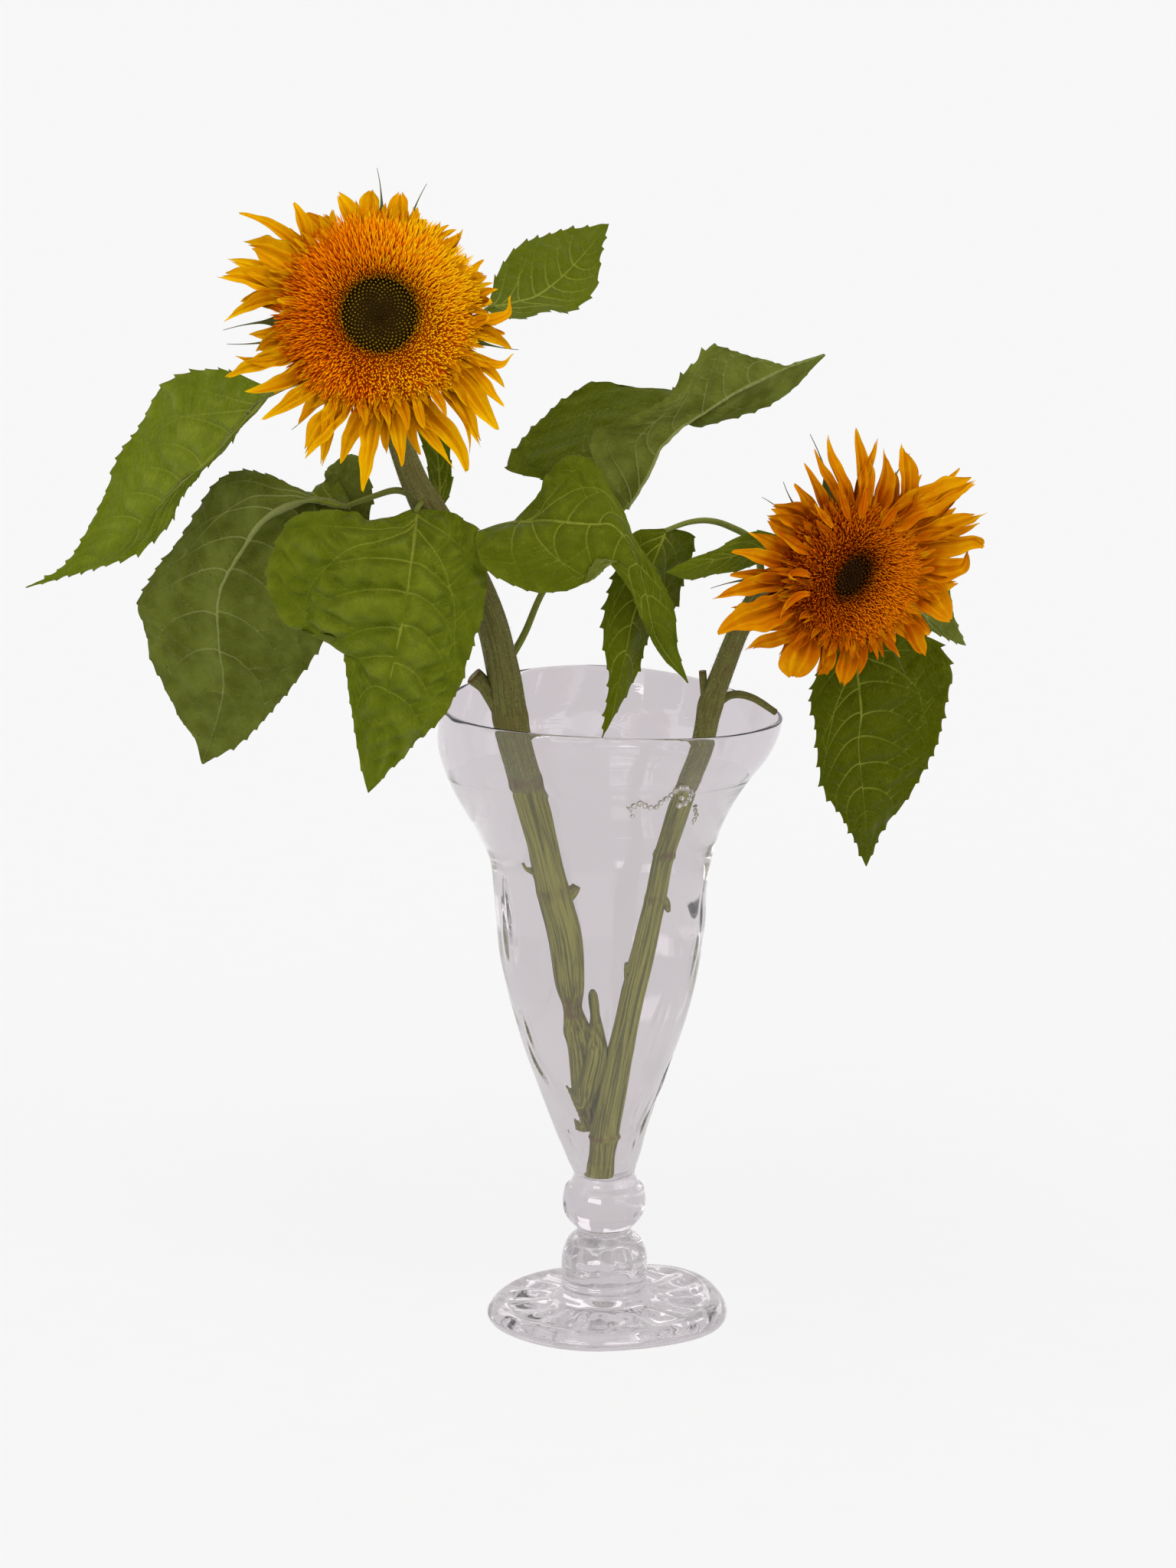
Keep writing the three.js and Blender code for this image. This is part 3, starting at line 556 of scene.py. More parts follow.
def vase_rows():
    """The section of the vase, outside from the underside up, over the lip and down the inside."""
    lower = Path([[r, z, 0] for r, z in FOOT_AND_KNOPS]).at(np.linspace(0, 1, SECTION_ROWS["foot"]))[:, :2]
    lower[:, 1] = np.maximum(lower[:, 1], 0)
    for level, half, depth in KNOP_GROOVES:
        on_knops = (lower[:, 0] < KNOPS["inside"]) & (lower[:, 1] > KNOPS["above"])
        lower[:, 0] -= depth * np.exp(-(((lower[:, 1] - level) / half) ** 2)) * on_knops
    heights = np.linspace(BOWL_FROM, RIM_HEIGHT - 1.2, SECTION_ROWS["outside"])
    outside = np.column_stack([half_width(heights), heights])
    top_half, top_wall = half_width(RIM_HEIGHT), wall_thickness(RIM_HEIGHT)
    lip_angle = np.linspace(0, math.pi, SECTION_ROWS["lip"])
    lip = np.column_stack([
        top_half - top_wall / 2 * (1 - np.cos(lip_angle)),
        RIM_HEIGHT - 1.1 + top_wall / 2 * np.sin(lip_angle),
    ])
    inside_heights = np.linspace(RIM_HEIGHT - 3, BOWL_FROM, SECTION_ROWS["inside"])
    inside = np.column_stack([half_width(inside_heights) - wall_thickness(inside_heights), inside_heights])
    floor = np.array([[7.5, 71.8], [6.2, 70.4], [4.5, 69.5], [2.2, 69.1], [0, FLOOR_OF_BOWL]])
    rows = np.vstack([lower, outside, lip, inside, floor])
    return rows, len(lower) + len(outside)


def turn_from(angle, other):
    """The angle between two directions, from minus half a turn to half a turn."""
    return np.angle(np.exp(1j * (angle - other)))


def mark(place, outer_rows, sides):
    """Dents and ridges on the outside of the vase."""
    skin = place[: outer_rows * sides].reshape(outer_rows, sides, 3)
    middle = np.stack([centre_shift(skin[..., 2]), np.zeros(skin.shape[:2])], -1)
    away = skin[..., :2] - middle
    radius = np.linalg.norm(away, axis=-1)
    angle = np.arctan2(away[..., 1], away[..., 0])
    height = skin[..., 2]
    push = 0.1 * ripple(skin, 34, 3) * step_up(height, 60, 90)
    push += 0.2 * ripple(skin, 30, 5) * (1 - step_up(height, 66, 80)) * step_up(height, 12, 20)
    for degrees, level, half_across, half_up, depth, lean in DENTS:
        turn = turn_from(angle, math.radians(degrees)) * radius - lean * (height - level)
        push += depth * np.exp(-((turn / half_across) ** 2) - ((height - level) / half_up) ** 2)
    push += 0.07 * ripple(skin, 8, 7) * (1 - step_up(height, 66, 80)) * step_up(height, 12, 20)
    skin[..., :2] += unit(away) * push[..., None]
    # Ridges that run outwards over the foot, and its thick rolled edge.
    on_top = step_up(radius, 22, 28) * (1 - step_up(radius, 42, 50)) * (1 - step_up(height, 12, 16))
    on_top = on_top * step_up(height, 6.5, 8)
    round_foot = np.stack([20 * np.cos(angle), 20 * np.sin(angle), radius / 6], -1)
    skin[..., 2] += on_top * (0.5 * ripple(round_foot, 10, 8) + 0.06 * ripple(round_foot, 2.8, 6) - 0.3)
    flutes = np.cos(FOOT_FLUTES * angle + 1.6 * np.sin(3 * angle) + 0.7)
    skin[..., 2] += FLUTE_RISE * flutes * on_top * step_up(radius, 24, 34)
    edge = np.exp(-(((radius - FOOT_EDGE["radius"]) / FOOT_EDGE["half"]) ** 2))
    skin[..., 2] += FOOT_EDGE["rise"] * edge * step_up(height, 6.5, 8)
    bulge = np.exp(-((turn_from(angle, FOOT_BULGE["turn"]) / FOOT_BULGE["spread"]) ** 2))
    raised = step_up(radius, 30, 52) * step_up(height, 1, 5) * (1 - step_up(height, 14, 18))
    skin[..., 2] += FOOT_BULGE["rise"] * bulge * raised
    under = (1 - step_up(height, 0.5, 2)) * step_up(radius, 0, 8) * (1 - step_up(radius, 44, 51))
    skin[..., 2] += under * (1.1 + 0.12 * ripple(skin, 24, 9))


def let_light_pass(thing):
    """Clear pieces neither shade the stems and the floor nor cost the light its way to them."""
    thing.visible_shadow = False
    thing.visible_diffuse = False
    return thing


def make_vase():
    rows, outer = vase_rows()
    points, faces = turned(rows, VASE_SIDES, blown)
    mark(points, outer - 1, VASE_SIDES)
    shape = Shape()
    shape.add(points, faces)
    return let_light_pass(shape.piece("blown_vase", glass_paint(), "glass", "vase"))


def on_wall(degrees, height, inwards):
    """A point in the wall, by its direction from the middle of the bowl and its real height."""
    turn = math.radians(degrees)
    level = height - rim_rise(turn, height)
    angle = math.atan2(math.sin(turn) / depth_ratio(level), math.cos(turn))
    return blown(half_width(level) - inwards, angle, level)


def make_bubbles():
    """The twig of bubbles, the swirl beside it and two single bubbles, blown into the front wall."""
    shape = Shape()
    rows = [
        [*on_wall(degrees, height, -BUBBLE_OUT), BUBBLE_SWELL * size] for degrees, height, size in BUBBLE_TWIG
    ]
    for part in (rows[:SWIRL_FROM], rows[SWIRL_FROM:-2]):
        tube(shape, part, 0.25, 16, lambda a, b: 0.82 + 0.3 * np.cos(2.1 * a) + 0.1 * np.cos(b + a))
    for x, y, z, radius in rows[-2:]:
        shares = (-1, -0.7, 0, 0.7, 1)
        ball = [[x, y, z + radius * share, radius * math.sqrt(1.01 - share**2)] for share in shares]
        tube(shape, ball, 0.2, 16)
    return let_light_pass(shape.piece("bubble_twig", bubble_paint(), "glass"))


def stem_crossings():
    """Where the stems cut the surface of the water: [x, y, radius]."""
    found = []
    for points in (LEFT_STEM, RIGHT_STEM):
        rows = Path(points).rows
        found.append(rows[np.argmin(abs(rows[:, 2] - WATER_LEVEL))][[0, 1, 3]])
    return found


def make_water():
    sides, wall_rows, top_rows = 120, 110, 46
    angle = np.linspace(-math.pi, math.pi, sides, endpoint=False)
    level = WATER_LEVEL + MENISCUS["rise"]
    edge = np.full(sides, float(level))
    for _ in range(8):
        edge = level - rim_rise(angle, edge)
    share = np.linspace(0, 1, wall_rows)[1:, None]
    low = FLOOR_OF_BOWL - WATER_IN_GLASS
    height = low + 5.5 + (edge - low - 5.5) * share
    inner = half_width(height) - wall_thickness(height) + WATER_IN_GLASS
    wall = blown(inner, np.broadcast_to(angle, height.shape), height)
    floor_rows = np.array([[2.2, 69.1], [4.6, 69.4], [6.4, 70.3], [7.7, 71.7]])
    floor_radius = np.repeat(floor_rows[:, :1], sides, 1)
    floor_height = np.repeat(floor_rows[:, 1:] - WATER_IN_GLASS, sides, 1)
    floor = blown(floor_radius, np.broadcast_to(angle, floor_radius.shape), floor_height)
    rim = wall[-1]
    centre = rim.mean(0)
    closing = np.linspace(1, 0, top_rows + 1)[1:-1, None, None] ** 1.15
    top = centre + (rim - centre) * closing
    top[..., 2] = WATER_LEVEL
    from_wall = np.linalg.norm(rim[None, :, :2] - top[..., :2], axis=-1)
    top[..., 2] += MENISCUS["rise"] * np.exp(-from_wall / MENISCUS["width"])
    for x, y, radius in stem_crossings():
        gap = np.hypot(top[..., 0] - x, top[..., 1] - y) - radius
        top[..., 2] += 0.2 * np.exp(-np.maximum(gap, 0) / MENISCUS["width"])
    rings = np.concatenate([floor, wall, top])
    points = np.vstack([rings.reshape(-1, 3), [centre_shift(low), 0, low], [*centre[:2], WATER_LEVEL]])
    shape = Shape()
    shape.add(points, ring_faces(len(rings), sides))
    return let_light_pass(shape.piece("still_water", water_paint(), "water", "water"))


GLASS_THIN = ((0.972, 0.967, 0.971), (0.955, 0.950, 0.956))  # from clear to cloudy
GLASS_THICK = ((0.90, 0.895, 0.90), (0.83, 0.825, 0.825))
THICK_BELOW = {"all": 66, "none": 74}
LINES_ABOVE = {"none": 215, "all": 260}


def glass_paint():
    paint = material("blown_glass", Transmission_Weight=1.0, IOR=1.5, Roughness=0.0)
    place = paint.place()
    cloud = paint.noise(place, 22.0, 3.0)
    height = paint.height(place)
    low = paint.span(height, THICK_BELOW["all"] * MM, THICK_BELOW["none"] * MM, 1.0, 0.0)
    paint.coat(Base_Color=paint.mix(low, paint.mix(cloud, *GLASS_THIN), paint.mix(cloud, *GLASS_THICK)))
    # Faint turning lines near the mouth, which break up what it mirrors.
    lines = paint.noise(paint.stretched(place, (12.0, 12.0, 280.0)), 1.0, 2.0)
    lines = paint.times(lines, paint.span(height, LINES_ABOVE["none"] * MM, LINES_ABOVE["all"] * MM))
    paint.coat(Normal=paint.bump(lines, 0.0002, 0.35))
    return paint.owner


def bubble_paint():
    paint = material("bubble", Transmission_Weight=1.0, IOR=1.9, Roughness=0.0)
    cloud = paint.noise(paint.place(), 300.0, 2.0)
    # Painted in: the brownish patches stand for the stem's colour showing through the bubbles; the paler rest
    # is the glass's own faint tint.
    tint = paint.mix(paint.span(cloud, 0.4, 0.6), (0.97, 0.97, 0.95), (0.74, 0.70, 0.56))
    paint.coat(Base_Color=tint)
    return paint.owner


def water_paint():
    """Water, whose upper part bends light less and less, so that its calm surface hardly shows."""
    paint = material("water", Transmission_Weight=1.0, IOR=WATER_INDEX, Roughness=0.0)
    place = paint.place()
    height = paint.height(place)
    bending = paint.span(height, WATER_FADE["from"] * MM, WATER_FADE["to"] * MM, WATER_INDEX, SURFACE_INDEX)
    tint = paint.mix(paint.noise(place, 9.0, 2.0), (0.99, 0.995, 0.985), (0.98, 0.99, 0.975))
    paint.coat(IOR=bending, Base_Color=tint)
    return paint.owner


# ------------------------------------------------------------------ stems

# Stems, cut end to flower: [x, y, z, radius].
LEFT_STEM = [
    [-5, 8, 97, 4.4], [-7.5, 1, 120, 4.6], [-10, -8, 146, 4.8], [-12.5, -13, 160, 4.8], [-14, -17, 172, 5.8],
    [-17, -23, 196, 7], [-22, -28, 216, 7.2], [-29, -33, 247, 6.9], [-35, -37, 268, 7.2],
    [-43, -43, 299, 7.8], [-46, -46, 322, 7.5], [-51, -50, 346, 7], [-59, -54, 368, 6.6],
    [-69, -59, 388, 6.2], [-81, -63, 405, 6.4], [-91, -67, 430, 5.6], [-97, -64, 456, 5.4],
    [-100, -65, 474, 5.6], [-100.4, -71, 485, 6],
]
RIGHT_STEM = [
    [-2, 0, 72, 5], [0, -3, 97, 5.2], [2, -5, 113, 5.2], [6, -10, 139, 5], [11, -16, 166, 4.9],
    [16, -20, 188, 4.9], [22, -25, 215, 4.8], [26, -28, 235, 4.8], [36, -34, 264, 4.7], [45, -40, 290, 4.9],
    [49, -44, 310, 5.2], [55, -48, 328, 4.8], [62, -51, 346, 4.6], [70, -53, 361, 4.6], [82, -53, 371, 4.6],
    [95, -55, 375, 4.6], [101, -61, 375.5, 5],
]
LEFT_STUBS = [
    [[-42, -43, 297, 5.5], [-48, -45, 308, 4.6], [-55, -46, 318, 3.8], [-60, -47, 323, 4.2]],
    [[-21, -27, 212, 5], [-14, -26, 218, 3], [-12, -26, 221, 2]],
    [[-24, -29, 219, 5], [-31, -30, 228, 2.4], [-35, -30.5, 229, 1.1], [-37, -31, 232, 0.7]],
]
# A young shoot that never grew on, low on the left stem.
LEFT_SHOOT = [
    [-7, 0, 110, 3.4], [-5.5, -5, 124, 4.7], [-3.2, -9, 138, 4.6], [-3.4, -10, 148, 3.3],
    [-3.8, -11, 157, 1.9], [-4.4, -11.5, 163, 1.9], [-4.8, -11.6, 167.5, 1.5], [-4.9, -11.6, 169.3, 0.6],
]
RIGHT_STUBS = [
    [[47, -43, 303, 3], [46, -45, 313, 2], [45, -46, 325, 1.7]],
    [[48, -44, 306, 2.4], [58, -42, 313, 1.9], [68, -38, 311, 1.7], [79, -32, 303, 1.5]],
    [[22, -25, 216, 3.5], [26.5, -24.5, 211, 2.2], [28, -24.5, 207, 0.9]],
]
# Joints and scars up each stem: [height, half height, swelling, how brown].
LEFT_SCARS = [
    [272, 2.2, 0.07, 1.0], [161, 6.0, -0.22, 0.9], [148, 4.5, 0.16, 0.1], [102, 2.0, 0.05, 0.5],
    [218, 3, 0.04, 0.3], [403, 6, 0.12, 0.15], [303, 5, 0.07, 0.2], [444, 5, 0.08, 0.1],
]
RIGHT_SCARS = [
    [236, 1.2, 0.14, 0.9], [94, 1.3, 0.16, 1.0], [84, 7, -0.1, 0.25], [214, 1.6, 0.05, 0.3],
    [309, 5, 0.1, 0.2], [350, 3, 0.06, 0.3], [372, 5, 0.08, 0.15],
]
STEM_SIDES = 44
HAIR_RADIUS = 0.055


def join_point(head):
    """Where a stem ends, just inside the foot of the calyx."""
    facing = unit(np.array(head["facing"], float))
    return [*(np.array(head["centre"]) + facing * (CALYX_FOOT - 0.3)), head["neck"]]


def scar_shares(scars):
    def shares(points, _):
        shares = sum(
            brown * np.exp(-(((points[:, 2] - height) / half) ** 2)) for height, half, _, brown in scars
        )
        return np.clip(shares * (0.75 + 0.7 * ripple(points, 7, 4)), 0, 1)
    return shares


def wet_share(points, _):
    return 1 - step_up(points[:, 2], WATER_LEVEL - 1, WATER_LEVEL + 1.5)


def make_stem(name, points, stubs, shoots, scars, seed, node):
    shape = Shape()
    line = Path(points)
    heights = line.at(np.linspace(0, 1, 400))[:, 2]

    def ribs(along, angle):
        height = np.interp(along, np.linspace(0, line.length, 400), heights)
        swelling = sum(size * np.exp(-(((height - level) / half) ** 2)) for level, half, size, _ in scars)
        ring = np.stack(np.broadcast_arrays(4 * np.cos(angle), 4 * np.sin(angle), along / 9), -1)
        rib = 0.03 * np.cos(11 * angle + 0.02 * along) + 0.018 * np.cos(19 * angle - 0.03 * along)
        return 1 + swelling + rib + 0.03 * ripple(ring, 5, seed)

    tube(shape, points, 1.1, STEM_SIDES, ribs, wet=wet_share, scar=scar_shares(scars))
    for stub in stubs:
        end = Path(stub).length

        def dry(_, grow, end=end):
            return 0.8 * step_up(grow[:, 2], end - 2, end)

        tube(shape, stub, 0.8, 16, lambda a, b: 1 + 0.05 * np.cos(5 * b + a / 3), wet=wet_share, scar=dry)
    for shoot in shoots:
        tube(shape, shoot, 0.8, 24, lambda a, b: 1 + 0.06 * np.cos(4 * b + a / 12), wet=wet_share, scar=0)
    return shape.piece(name, stem_paint(), "stem", node)


def make_hairs(name, points, low, high, count, seed):
    """Short pale hairs that stand out from a stem above the water."""
    source = np.random.default_rng(seed)
    line = Path(points)
    shares = np.linspace(0, 1, 1200)
    rows = line.at(shares)
    along, side, other = turning_frames(rows[:, :3])
    wanted = np.flatnonzero((rows[:, 2] > low) & (rows[:, 2] < high))
    pick = source.choice(wanted, count)
    angle = source.uniform(0, 2 * math.pi, count)[:, None]
    outward = side[pick] * np.cos(angle) + other[pick] * np.sin(angle)
    root = rows[pick, :3] + outward * rows[pick, 3:4] * 0.97
    lean = unit(outward + 0.5 * source.normal(size=(count, 3)))
    length = source.uniform(0.7, 1.9, (count, 1))
    first = unit(np.cross(lean, along[pick]))
    second = np.cross(lean, first)
    corners = [root + HAIR_RADIUS * (first * math.cos(t) + second * math.sin(t)) for t in (0, 2.094, 4.189)]
    tip = root + lean * length
    points_all = np.stack([*corners, tip], 1).reshape(-1, 3)
    faces = [[4 * i + a, 4 * i + b, 4 * i + c]
             for i in range(count) for a, b, c in ((2, 1, 0), (0, 1, 3), (1, 2, 3), (2, 0, 3))]
    shape = Shape()
    shape.add(points_all, faces, tone=np.repeat(source.uniform(0, 1, count), 4))
    return shape.piece(name, hair_paint(), "stem", smooth=False)


def stem_paint():
    paint = material("stem", Specular_IOR_Level=0.12)
    grow = paint.grown()
    streaks = paint.noise(paint.stretched(grow, (1.1, 1.1, 0.022)), 1.0, 4.0, 0.6)
    lines = paint.span(streaks, 0.38, 0.6)
    mottle = paint.noise(grow, 0.16, 4.0, 0.6)
    specks = paint.span(paint.noise(paint.stretched(grow, (2.2, 2.2, 0.9)), 1.0, 3.0, 0.7), 0.58, 0.68)
    flecks = paint.span(paint.cells(grow, 0.85), 0.1, 0.2, 1.0, 0.0)
    dry = paint.mix(lines, (0.100, 0.100, 0.018), (0.172, 0.164, 0.044))
    dry = paint.mix(paint.span(mottle, 0.35, 0.7, 0.0, 0.6), dry, (0.13, 0.10, 0.03))
    dry = paint.mix(paint.times(specks, 0.35), dry, (0.04, 0.035, 0.008))
    soaked = paint.mix(lines, (0.070, 0.068, 0.004), (0.235, 0.215, 0.034))
    soaked = paint.mix(paint.times(specks, 0.5), soaked, (0.15, 0.10, 0.03))
    green = paint.mix(paint.stored("wet"), dry, soaked)
    green = paint.mix(paint.times(flecks, 0.5), green, (0.36, 0.35, 0.17))
    brown = paint.mix(paint.noise(grow, 0.9, 3.0), (0.055, 0.025, 0.008), (0.17, 0.085, 0.03))
    scarred = paint.times(paint.stored("scar"), paint.span(mottle, 0.2, 0.5, 0.55, 1.0), clamp=True)
    skin = paint.mix(scarred, green, brown)
    paint.coat(Base_Color=paint.mix(paint.stored("core"), skin, (0.42, 0.36, 0.2)))
    paint.coat(Roughness=paint.span(streaks, 0.2, 0.8, 0.5, 0.75))
    height = paint.plus(streaks, paint.times(specks, 0.5))
    paint.coat(Normal=paint.bump(height, 0.0008, 0.8))
    return paint.owner


def hair_paint():
    paint = material("pale_hair", Roughness=0.6)
    paint.coat(Base_Color=paint.mix(paint.stored("tone"), (0.33, 0.34, 0.2), (0.6, 0.6, 0.46)))
    return paint.owner


# ------------------------------------------------------------------ leaves

# A stalk runs from inside the stem to the base of the blade. The midrib and the margins run from there to
# the tip.
LEAVES = {
    "leaf_behind_left_flower": {
        "stalk": [[-94, -66, 444], [-76, -57, 464], [-62, -53, 484], [-50, -54, 494]],
        "one_margin": [[-52, -49, 495], [-49, -39, 505], [-40, -27, 517], [-19, -13, 524], [-8, -8, 525]],
        "midrib": [[-52, -54, 493], [-33, -42, 496], [-21, -31, 503], [-10, -19, 513]],
        "other_margin": [
            [-52, -57, 491], [-43, -59, 488], [-27, -49, 490], [-14, -36, 490], [-4, -25, 499],
            [-2, -15, 513],
        ],
        "tip": [2, -4, 526],
    },
    "leaf_far_left": {
        "stalk": [[-94, -66, 440], [-117, -62, 453], [-136, -66, 460], [-153, -70, 454]],
        "one_margin": [
            [-151, -65, 458], [-174, -50, 464], [-200, -36, 456], [-213, -30, 436], [-223, -27, 421],
            [-234, -23, 395], [-251, -20, 369],
        ],
        "midrib": [
            [-150, -70, 456], [-175, -57, 428], [-198, -45, 406], [-218, -34, 385], [-240, -24, 369],
        ],
        "other_margin": [
            [-152, -67, 452], [-172, -51, 427], [-192, -39, 406], [-200, -33, 391], [-211, -29, 379],
            [-236, -23, 368],
        ],
        "tip": [-269, -15, 358],
    },
    "leaf_lower_left": {
        "stalk": [[-81, -63, 405], [-93, -64, 411], [-105, -63, 408], [-118, -61, 403]],
        "one_margin": [
            [-118, -57, 405], [-138, -48, 409], [-154, -40, 414], [-166, -34, 416], [-180, -28, 407],
            [-196, -21, 383], [-216, -13, 352], [-215, -13, 342], [-208, -11, 316], [-192, -12, 287],
        ],
        "midrib": [
            [-115, -62, 403], [-135, -57, 405], [-153, -50, 397], [-166, -43, 379], [-176, -39, 360],
            [-177, -34, 336], [-176, -28, 313],
        ],
        "other_margin": [
            [-116, -55, 406], [-124, -41, 419], [-114, -38, 423], [-106, -46, 409], [-110, -52, 388],
            [-120, -49, 356], [-131, -43, 335], [-148, -33, 311], [-169, -21, 287],
        ],
        "tip": [-188, -12, 274],
    },
    "leaf_centre": {
        "stalk": [[-81, -63, 405], [-83, -70, 406], [-85, -76, 403]],
        "one_margin": [
            [-87, -74, 404], [-96, -80, 402], [-117, -84, 405], [-139, -84, 402], [-150, -80, 382],
            [-149, -78, 364], [-138, -80, 349], [-120, -86, 347], [-115, -92, 323], [-111, -92, 296],
        ],
        "midrib": [[-84, -74, 404], [-86, -92, 385], [-89, -99, 364], [-94, -100, 340], [-100, -96, 312]],
        "other_margin": [
            [-82, -74, 404], [-70, -78, 404], [-56, -82, 393], [-53, -84, 377], [-54, -86, 362],
            [-59, -88, 347], [-64, -90, 329], [-72, -90, 313], [-87, -90, 297],
        ],
        "tip": [-107, -88, 276],
    },
    "leaf_under_left_flower": {
        "stalk": [[-78, -62, 400], [-76, -58, 399], [-75, -54, 402]],
        "one_margin": [[-78, -54, 400], [-80, -48, 409], [-81, -44, 423], [-85, -44, 437]],
        "midrib": [[-76, -55, 400], [-75, -50, 409], [-76, -47, 423], [-79, -46, 437]],
        "other_margin": [[-74, -56, 400], [-70, -50, 409], [-70, -48, 423], [-73, -48, 437]],
        "tip": [-84, -46, 448],
    },
    "leaf_upper_middle": {
        "stalk": [
            [-46, -46, 326], [-37, -41, 341], [-29, -37, 359], [-16, -32, 378], [0, -28, 388],
            [11, -26, 400],
        ],
        "one_margin": [
            [8, -16, 396], [-9, 2, 399], [-30, 16, 405], [-45, 26, 409], [-35, 30, 425], [-19, 31, 440],
            [-6, 30, 448], [5, 27, 449], [14, 24, 447], [25, 20, 442], [34, 16, 435], [41, 14, 430],
            [50, 18, 431], [74, 27, 437], [83, 32, 441], [94, 39, 450],
        ],
        "midrib": [
            [10, -26, 397], [20, -20, 414], [25, -17, 424], [30, -14, 429], [35, -9, 433], [49, -1, 441],
            [63, 10, 448], [83, 27, 455],
        ],
        "other_margin": [
            [9, -27, 397], [-2, -36, 415], [-6, -36, 425], [-5, -34, 433], [13, -27, 440], [29, -18, 448],
            [37, -10, 458], [42, -3, 462], [49, 6, 468], [60, 14, 465], [77, 26, 458], [88, 35, 454],
        ],
        "tip": [104, 45, 460],
    },
    "leaf_middle_front": {
        "stalk": [[-69, -59, 388], [-59, -68, 391], [-48, -75, 396], [-39, -80, 399]],
        "one_margin": [
            [-44, -78, 397], [-57, -84, 395], [-54, -92, 381], [-37, -98, 372], [-26, -102, 371],
            [-11, -104, 374], [-3, -102, 386], [10, -98, 374], [21, -92, 347],
        ],
        "midrib": [
            [-41, -78, 399], [-27, -88, 401], [-15, -94, 401], [-5, -98, 401], [3, -100, 401],
            [10, -100, 394], [16, -98, 381], [19, -94, 367], [23, -90, 349],
        ],
        "other_margin": [
            [-40, -76, 400], [-31, -80, 410], [-27, -80, 420], [-15, -80, 429], [-5, -84, 427],
            [4, -90, 414], [14, -94, 394], [23, -94, 379], [31, -92, 362], [33, -88, 342],
        ],
        "tip": [38, -84, 326],
    },
    "leaf_middle_hanging": {
        "stalk": [
            [72, -53, 363], [68, -56, 386], [56, -58, 394], [47, -62, 397], [38, -67, 397], [27, -73, 394],
        ],
        "one_margin": [
            [26, -72, 395], [14, -74, 394], [8, -77, 384], [0, -82, 359], [0, -86, 342], [2, -88, 330],
            [0, -90, 311],
        ],
        "midrib": [
            [28, -72, 395], [25, -76, 387], [19, -80, 372], [13, -84, 357], [10, -87, 342], [6, -89, 325],
            [3, -90, 311],
        ],
        "other_margin": [
            [30, -70, 395], [39, -62, 390], [39, -62, 382], [36, -63, 373], [32, -68, 358], [20, -76, 346],
            [15, -82, 330], [4, -89, 311],
        ],
        "tip": [-1, -90, 302],
    },
    "leaf_beside_right_flower": {
        "stalk": [[78, -53, 369], [84, -58, 378], [78, -63, 386]],
        "one_margin": [[80, -62, 390], [70, -66, 393], [60, -72, 391], [50, -76, 386], [40, -80, 383]],
        "midrib": [[81, -62, 386], [69, -68, 385], [59, -74, 383], [48, -78, 381], [38, -82, 378]],
        "other_margin": [[79, -62, 382], [69, -66, 378], [61, -72, 376], [52, -76, 375], [38, -81, 373]],
        "tip": [27, -84, 377],
    },
    "leaf_lower_right": {
        "stalk": [[86, -54, 372], [98, -56, 365], [108, -57, 354], [116, -60, 341]],
        "one_margin": [
            [113, -60, 343], [103, -62, 337], [97, -63, 327], [94, -63, 314], [96, -63, 304],
            [98, -61, 286], [101, -58, 271], [111, -54, 256],
        ],
        "midrib": [
            [116, -60, 343], [115, -64, 330], [116, -66, 320], [117, -66, 308], [116, -65, 294],
            [118, -61, 276], [120, -56, 257],
        ],
        "other_margin": [
            [119, -60, 345], [132, -60, 345], [149, -57, 342], [158, -56, 327], [156, -56, 315],
            [153, -56, 298], [148, -55, 284], [139, -53, 266], [129, -50, 252],
        ],
        "tip": [121, -47, 233],
    },
    "leaf_far_right": {
        "stalk": [[92, -55, 375], [104, -50, 375], [116, -48, 371], [128, -48, 366]],
        "one_margin": [[127, -45, 368], [144, -31, 373], [155, -23, 376], [159, -20, 362], [162, -17, 347]],
        "midrib": [[126, -48, 367], [139, -37, 356], [150, -27, 345], [160, -19, 337]],
        "other_margin": [
            [125, -47, 364], [132, -41, 355], [141, -34, 347], [151, -27, 340], [161, -19, 334],
        ],
        "tip": [168, -13, 331],
    },
}
# How each leaf looks: which way its upper side turns, how light and how spotted it is, how puckered between
# its veins, how many side veins each half has, and how large its teeth are.
LOOK_KEYS = ("upper", "tone", "spots", "pucker", "veins", "teeth")
LEAF_LOOKS = {
    "leaf_behind_left_flower": [-1, 0.4, 0.05, 0.7, 6, 0.8],
    "leaf_far_left": [1, 1.0, 0.0, 1.1, 7, 0.7],
    "leaf_lower_left": [-1, 0.4, 0.7, 1.0, 6, 0.7],
    "leaf_centre": [1, 0.6, 0.0, 2.0, 6, 0.5],
    "leaf_under_left_flower": [-1, 0.4, 0.0, 0.3, 4, 0.5],
    "leaf_upper_middle": [-1, 0.25, 0.1, 0.5, 6, 1.0],
    "leaf_middle_front": [1, 0.4, 0.1, 0.8, 6, 0.5],
    "leaf_middle_hanging": [1, 0.15, 0.3, 0.5, 5, 0.9],
    "leaf_beside_right_flower": [1, 0.68, 0.3, 0.3, 5, 0.25],
    "leaf_lower_right": [1, 0.0, 1.0, 0.8, 6, 1.0],
    "leaf_far_right": [1, 0.3, 0.8, 0.3, 4, 0.7],
}
LEAF_SPACING = 0.58
MOST_LEAF_FACES = 194000
FACES_OVER_CELLS = 8.8  # faces of a blade, in triangles, for each cell of its length times its half width
LEAF_THICKNESS = 0.45
TOOTH = {"spacing": 7.6, "reach": 2.3}
VEIN_WIDTH = {"mid": 0.78, "side": 0.52, "fine": 0.4}


